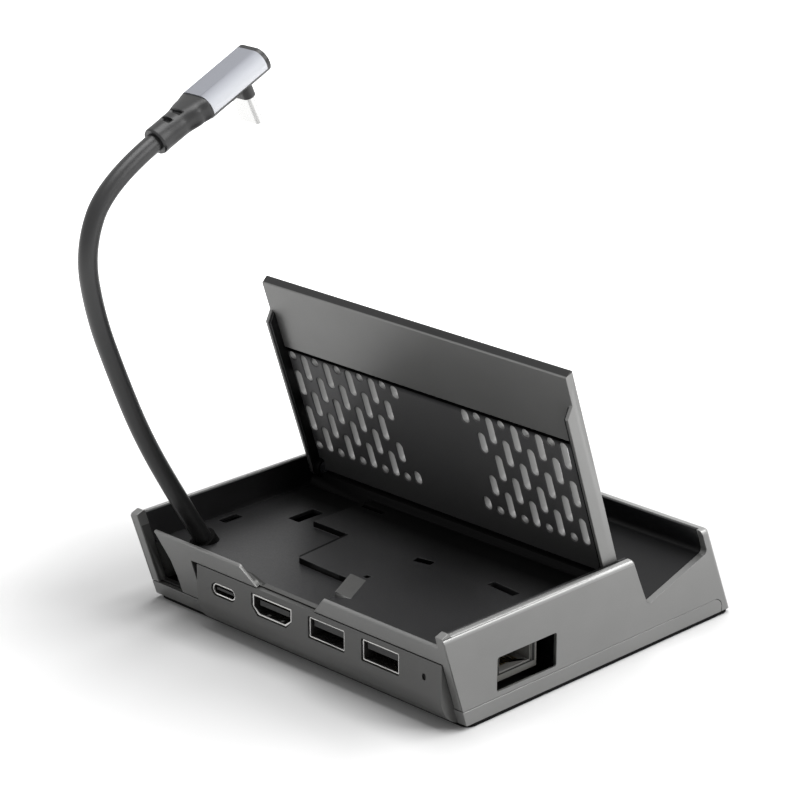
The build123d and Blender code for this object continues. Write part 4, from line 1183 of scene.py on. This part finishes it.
@dataclass
class Lead:
    """The short lead and its angled plug, in one upright plane."""

    x: float = 46.5
    diameter: float = 5.2
    route: tuple[tuple[float, float], ...] = (
        (42.20, 19.60),
        (51.10, 34.10),
        (62.40, 54.20),
        (70.20, 73.00),
        (77.20, 92.00),
        (79.90, 110.30),
        (71.90, 126.11),
        (55.40, 133.80),
    )
    length: float = 133.8
    steps_around: int = 8
    steps_along: int = 16
    plug: tuple[Moulding, ...] = (
        Moulding("plug_sleeve", "sleeve_aluminium", 0.22),
        Moulding("plug_core", "boot_plastic", 0.3),
        Moulding("plug_shell", "plug_steel", 0.08, "socket_steel"),
    )

    def cable(self, finish: bpy.types.Material) -> Piece:
        """Runs the jacket along the route as one smooth spline.

        Args:
            finish: Jacket material.

        Returns:
            The curve object.
        """
        data = bpy.data.curves.new("lead_cable", "CURVE")
        data.dimensions = "3D"
        data.bevel_depth = self.diameter / 2 * MM
        data.bevel_resolution = self.steps_around
        data.resolution_u = self.steps_along
        data.use_fill_caps = True
        spline = data.splines.new("NURBS")
        spline.points.add(len(self.route) - 1)
        for point, (y, z) in zip(spline.points, self.route):
            point.co = (self.x * MM, y * MM, z * MM, 1.0)
        spline.order_u = 3
        spline.use_endpoint_u = True
        data.materials.append(finish)
        return link_piece("lead_cable", data)

    def build(self, finishes: Materials) -> None:
        """Args:
            finishes: Materials by name.
        """
        piece = self.cable(finishes["cable_jacket"])
        settle(piece, Body.BASE, "cable")
        carried = [Boot().build(finishes), *(part.build(finishes) for part in self.plug), frame["nodes"]["plug_insert"]]


SOCKET_SHELLS = ("usb_a_shell_1", "usb_a_shell_2", "hdmi_shell", "usb_c_shell")


@dataclass
class Housing:
    """Shell, frame, tray, cover and sockets of the base, and the stand's plate."""

    mouldings: tuple[Moulding, ...] = (
        Moulding("outer_shell", "grey_shell", 0.24),
        Moulding("rear_frame", "grey_frame", 0.25, "grey_shell"),
        Moulding("tray", "black_liner", 0.22, whole_chains=True),
        Moulding("bottom_cover", "grey_cover", 0.22),
        Moulding("base_pad", "pad_rubber", 0.2),
        Moulding("stand_plate", "grey_stand", 0.25, "grey_shell", Body.STAND),
        *(Moulding(node, "socket_steel", 0.08) for node in SOCKET_SHELLS),
        Moulding("ethernet_shield", "jack_shield", 0.08, "socket_steel"),
        Moulding("ethernet_insert", "jack_insert", 0.1, "socket_black"),
    )

    def build(self, finishes: Materials) -> None:
        """Rounds and dresses every moulding and socket.

        Args:
            finishes: Materials by name.
        """
        for part in self.mouldings:
            part.build(finishes)


@dataclass
class Studio:
    """Floor, lights, world and the camera at the photograph's place, in metres."""

    eye: Place = (-0.52670, 0.54016, 0.33323)
    azimuth: float = 224.939
    elevation: float = 19.858
    lens: float = 134.44
    sensor: float = 36.0
    clip: tuple[float, float] = (0.01, 50.0)
    floor_half: float = 6.0
    floor_level: float = -0.0002
    sky: float = 0.2
    paper: float = 0.8
    bounce: float = 0.8
    lift: float = 0.02
    white_from: tuple[float, float] = (0.07, 0.24)
    aim: Place = (0.0, 0.0, 0.03)
    softboxes: tuple[tuple[str, Place, float, float], ...] = (
        ("key_side", (-1.0, -0.65, 0.85), 0.9, 13.0),
        ("top_fill", (0.0, -0.05, 1.4), 0.9, 13.0),
        ("edge_light", (-0.5, -0.98, 0.98), 0.4, 4.0),
    )

    def camera(self) -> None:
        """Sets the camera from the fitted eye point and angles."""
        a, e = math.radians(self.azimuth), math.radians(self.elevation)
        right = Vector((math.cos(a), math.sin(a), 0))
        back = Vector((math.sin(a) * math.cos(e), -math.cos(a) * math.cos(e), math.sin(e)))
        data = bpy.data.cameras.new("photo_camera")
        data.lens, data.sensor_width, data.sensor_fit = self.lens, self.sensor, "HORIZONTAL"
        data.clip_start, data.clip_end = self.clip
        camera = link_piece("photo_camera", data)
        place = Matrix((right, back.cross(right), back)).transposed().to_4x4()
        place.translation = Vector(self.eye)
        camera.matrix_world = place
        bpy.context.scene.camera = camera

    @staticmethod
    def seen_ray(tree: Tree) -> Socket:
        """Tells the rays that show the backdrop, straight or in a reflection, from those that only light.

        Args:
            tree: Node tree of the floor or the world.

        Returns:
            An output that is 1 for camera, glossy and transmission rays.
        """
        rays = add_node(tree, "ShaderNodeLightPath").outputs
        seen = rays["Is Camera Ray"]
        for kind in ("Is Glossy Ray", "Is Transmission Ray"):
            seen = add_node(tree, "ShaderNodeMath", {0: seen, 1: rays[kind]}, operation="MAXIMUM").outputs[0]
        return seen

    def floor(self) -> None:
        """Lays a pale floor that the camera sees as white, with the dock's shadow on it."""
        mesh = bpy.data.meshes.new("studio_floor")
        half, level = self.floor_half, self.floor_level
        corners = [(-half, -half, level), (half, -half, level), (half, half, level), (-half, half, level)]
        mesh.from_pydata(corners, [], [(0, 1, 2, 3)])
        material, tree = new_material("studio_paper_white")
        seen = self.seen_ray(tree)
        place = add_node(tree, "ShaderNodeTexCoord").outputs["Object"]
        away = add_node(tree, "ShaderNodeVectorMath", {0: place}, operation="LENGTH").outputs["Value"]
        near, far = self.white_from
        ends = {"Value": away, "From Min": near, "From Max": far, "To Min": self.lift, "To Max": 1.0}
        white = add_node(tree, "ShaderNodeMapRange", ends, interpolation_type="SMOOTHSTEP")
        lift = add_node(tree, "ShaderNodeMath", {0: seen, 1: white}, operation="MULTIPLY")
        shade = add_node(tree, "ShaderNodeMapRange", {"Value": seen, "To Min": self.bounce, "To Max": self.paper})
        paper = add_node(tree, "ShaderNodeBsdfDiffuse", {"Color": shade})
        glow = add_node(tree, "ShaderNodeEmission", {"Strength": lift})
        both = add_node(tree, "ShaderNodeAddShader", {0: paper, 1: glow})
        add_node(tree, "ShaderNodeOutputMaterial", {"Surface": both})
        mesh.materials.append(material)
        link_piece("studio_floor", mesh)

    def world(self) -> None:
        """Soft even light all round, seen as white by the camera."""
        world = bpy.data.worlds.new("studio_world")
        world.use_nodes = True
        tree = world.node_tree
        tree.nodes.clear()
        seen = self.seen_ray(tree)
        level = add_node(tree, "ShaderNodeMapRange", {"Value": seen, "To Min": self.sky, "To Max": 1.0})
        sky = add_node(tree, "ShaderNodeBackground", {"Color": (1, 1, 1, 1), "Strength": level})
        add_node(tree, "ShaderNodeOutputWorld", {"Surface": sky})
        bpy.context.scene.world = world

    def softbox(self, name: str, place: Place, size: float, power: float) -> None:
        """Hangs one square softbox that faces the dock.

        Args:
            name: Name of the lamp.
            place: Where it hangs.
            size: Edge of the square.
            power: Watts.
        """
        data = bpy.data.lights.new(name, "AREA")
        data.energy, data.size = power, size
        lamp = link_piece(name, data)
        lamp.location = Vector(place)
        lamp.rotation_euler = (Vector(self.aim) - Vector(place)).to_track_quat("-Z", "Y").to_euler()

    def build(self) -> None:
        """Sets up the whole studio."""
        self.camera()
        self.floor()
        self.world()
        for softbox in self.softboxes:
            self.softbox(*softbox)
        bpy.context.scene.view_settings.view_transform = "Standard"


# Nodes that wear another finish than their slot's own
OTHER_FINISH = {"cable_gland": "pad_rubber"}


def dress_nodes(finishes: Materials) -> None:
    """Gives every CAD node the material of its record slot.

    Args:
        finishes: Materials by name.
    """
    for row in frame["record"]["subparts"]:
        node = frame["nodes"][row["node"]]
        node.data.materials.clear()
        node.data.materials.append(finishes[OTHER_FINISH.get(row["node"], row["material_slot"])])
        LOG.info("dressed %s", row["node"])


def main() -> None:
    """Builds the studio, the finishes and each sub-assembly in order."""
    logging.basicConfig(level=logging.INFO, format="%(name)s %(message)s")
    Studio().build()
    book = Finishes()
    finishes = {finish.name: getattr(book, finish.name).material() for finish in fields(book)}
    dress_nodes(finishes)
    Lead().build(finishes)
    Housing().build(finishes)
    SlottedPanel().build(finishes)
    Contacts().build(finishes)


if __name__ == "__main__":
    main()
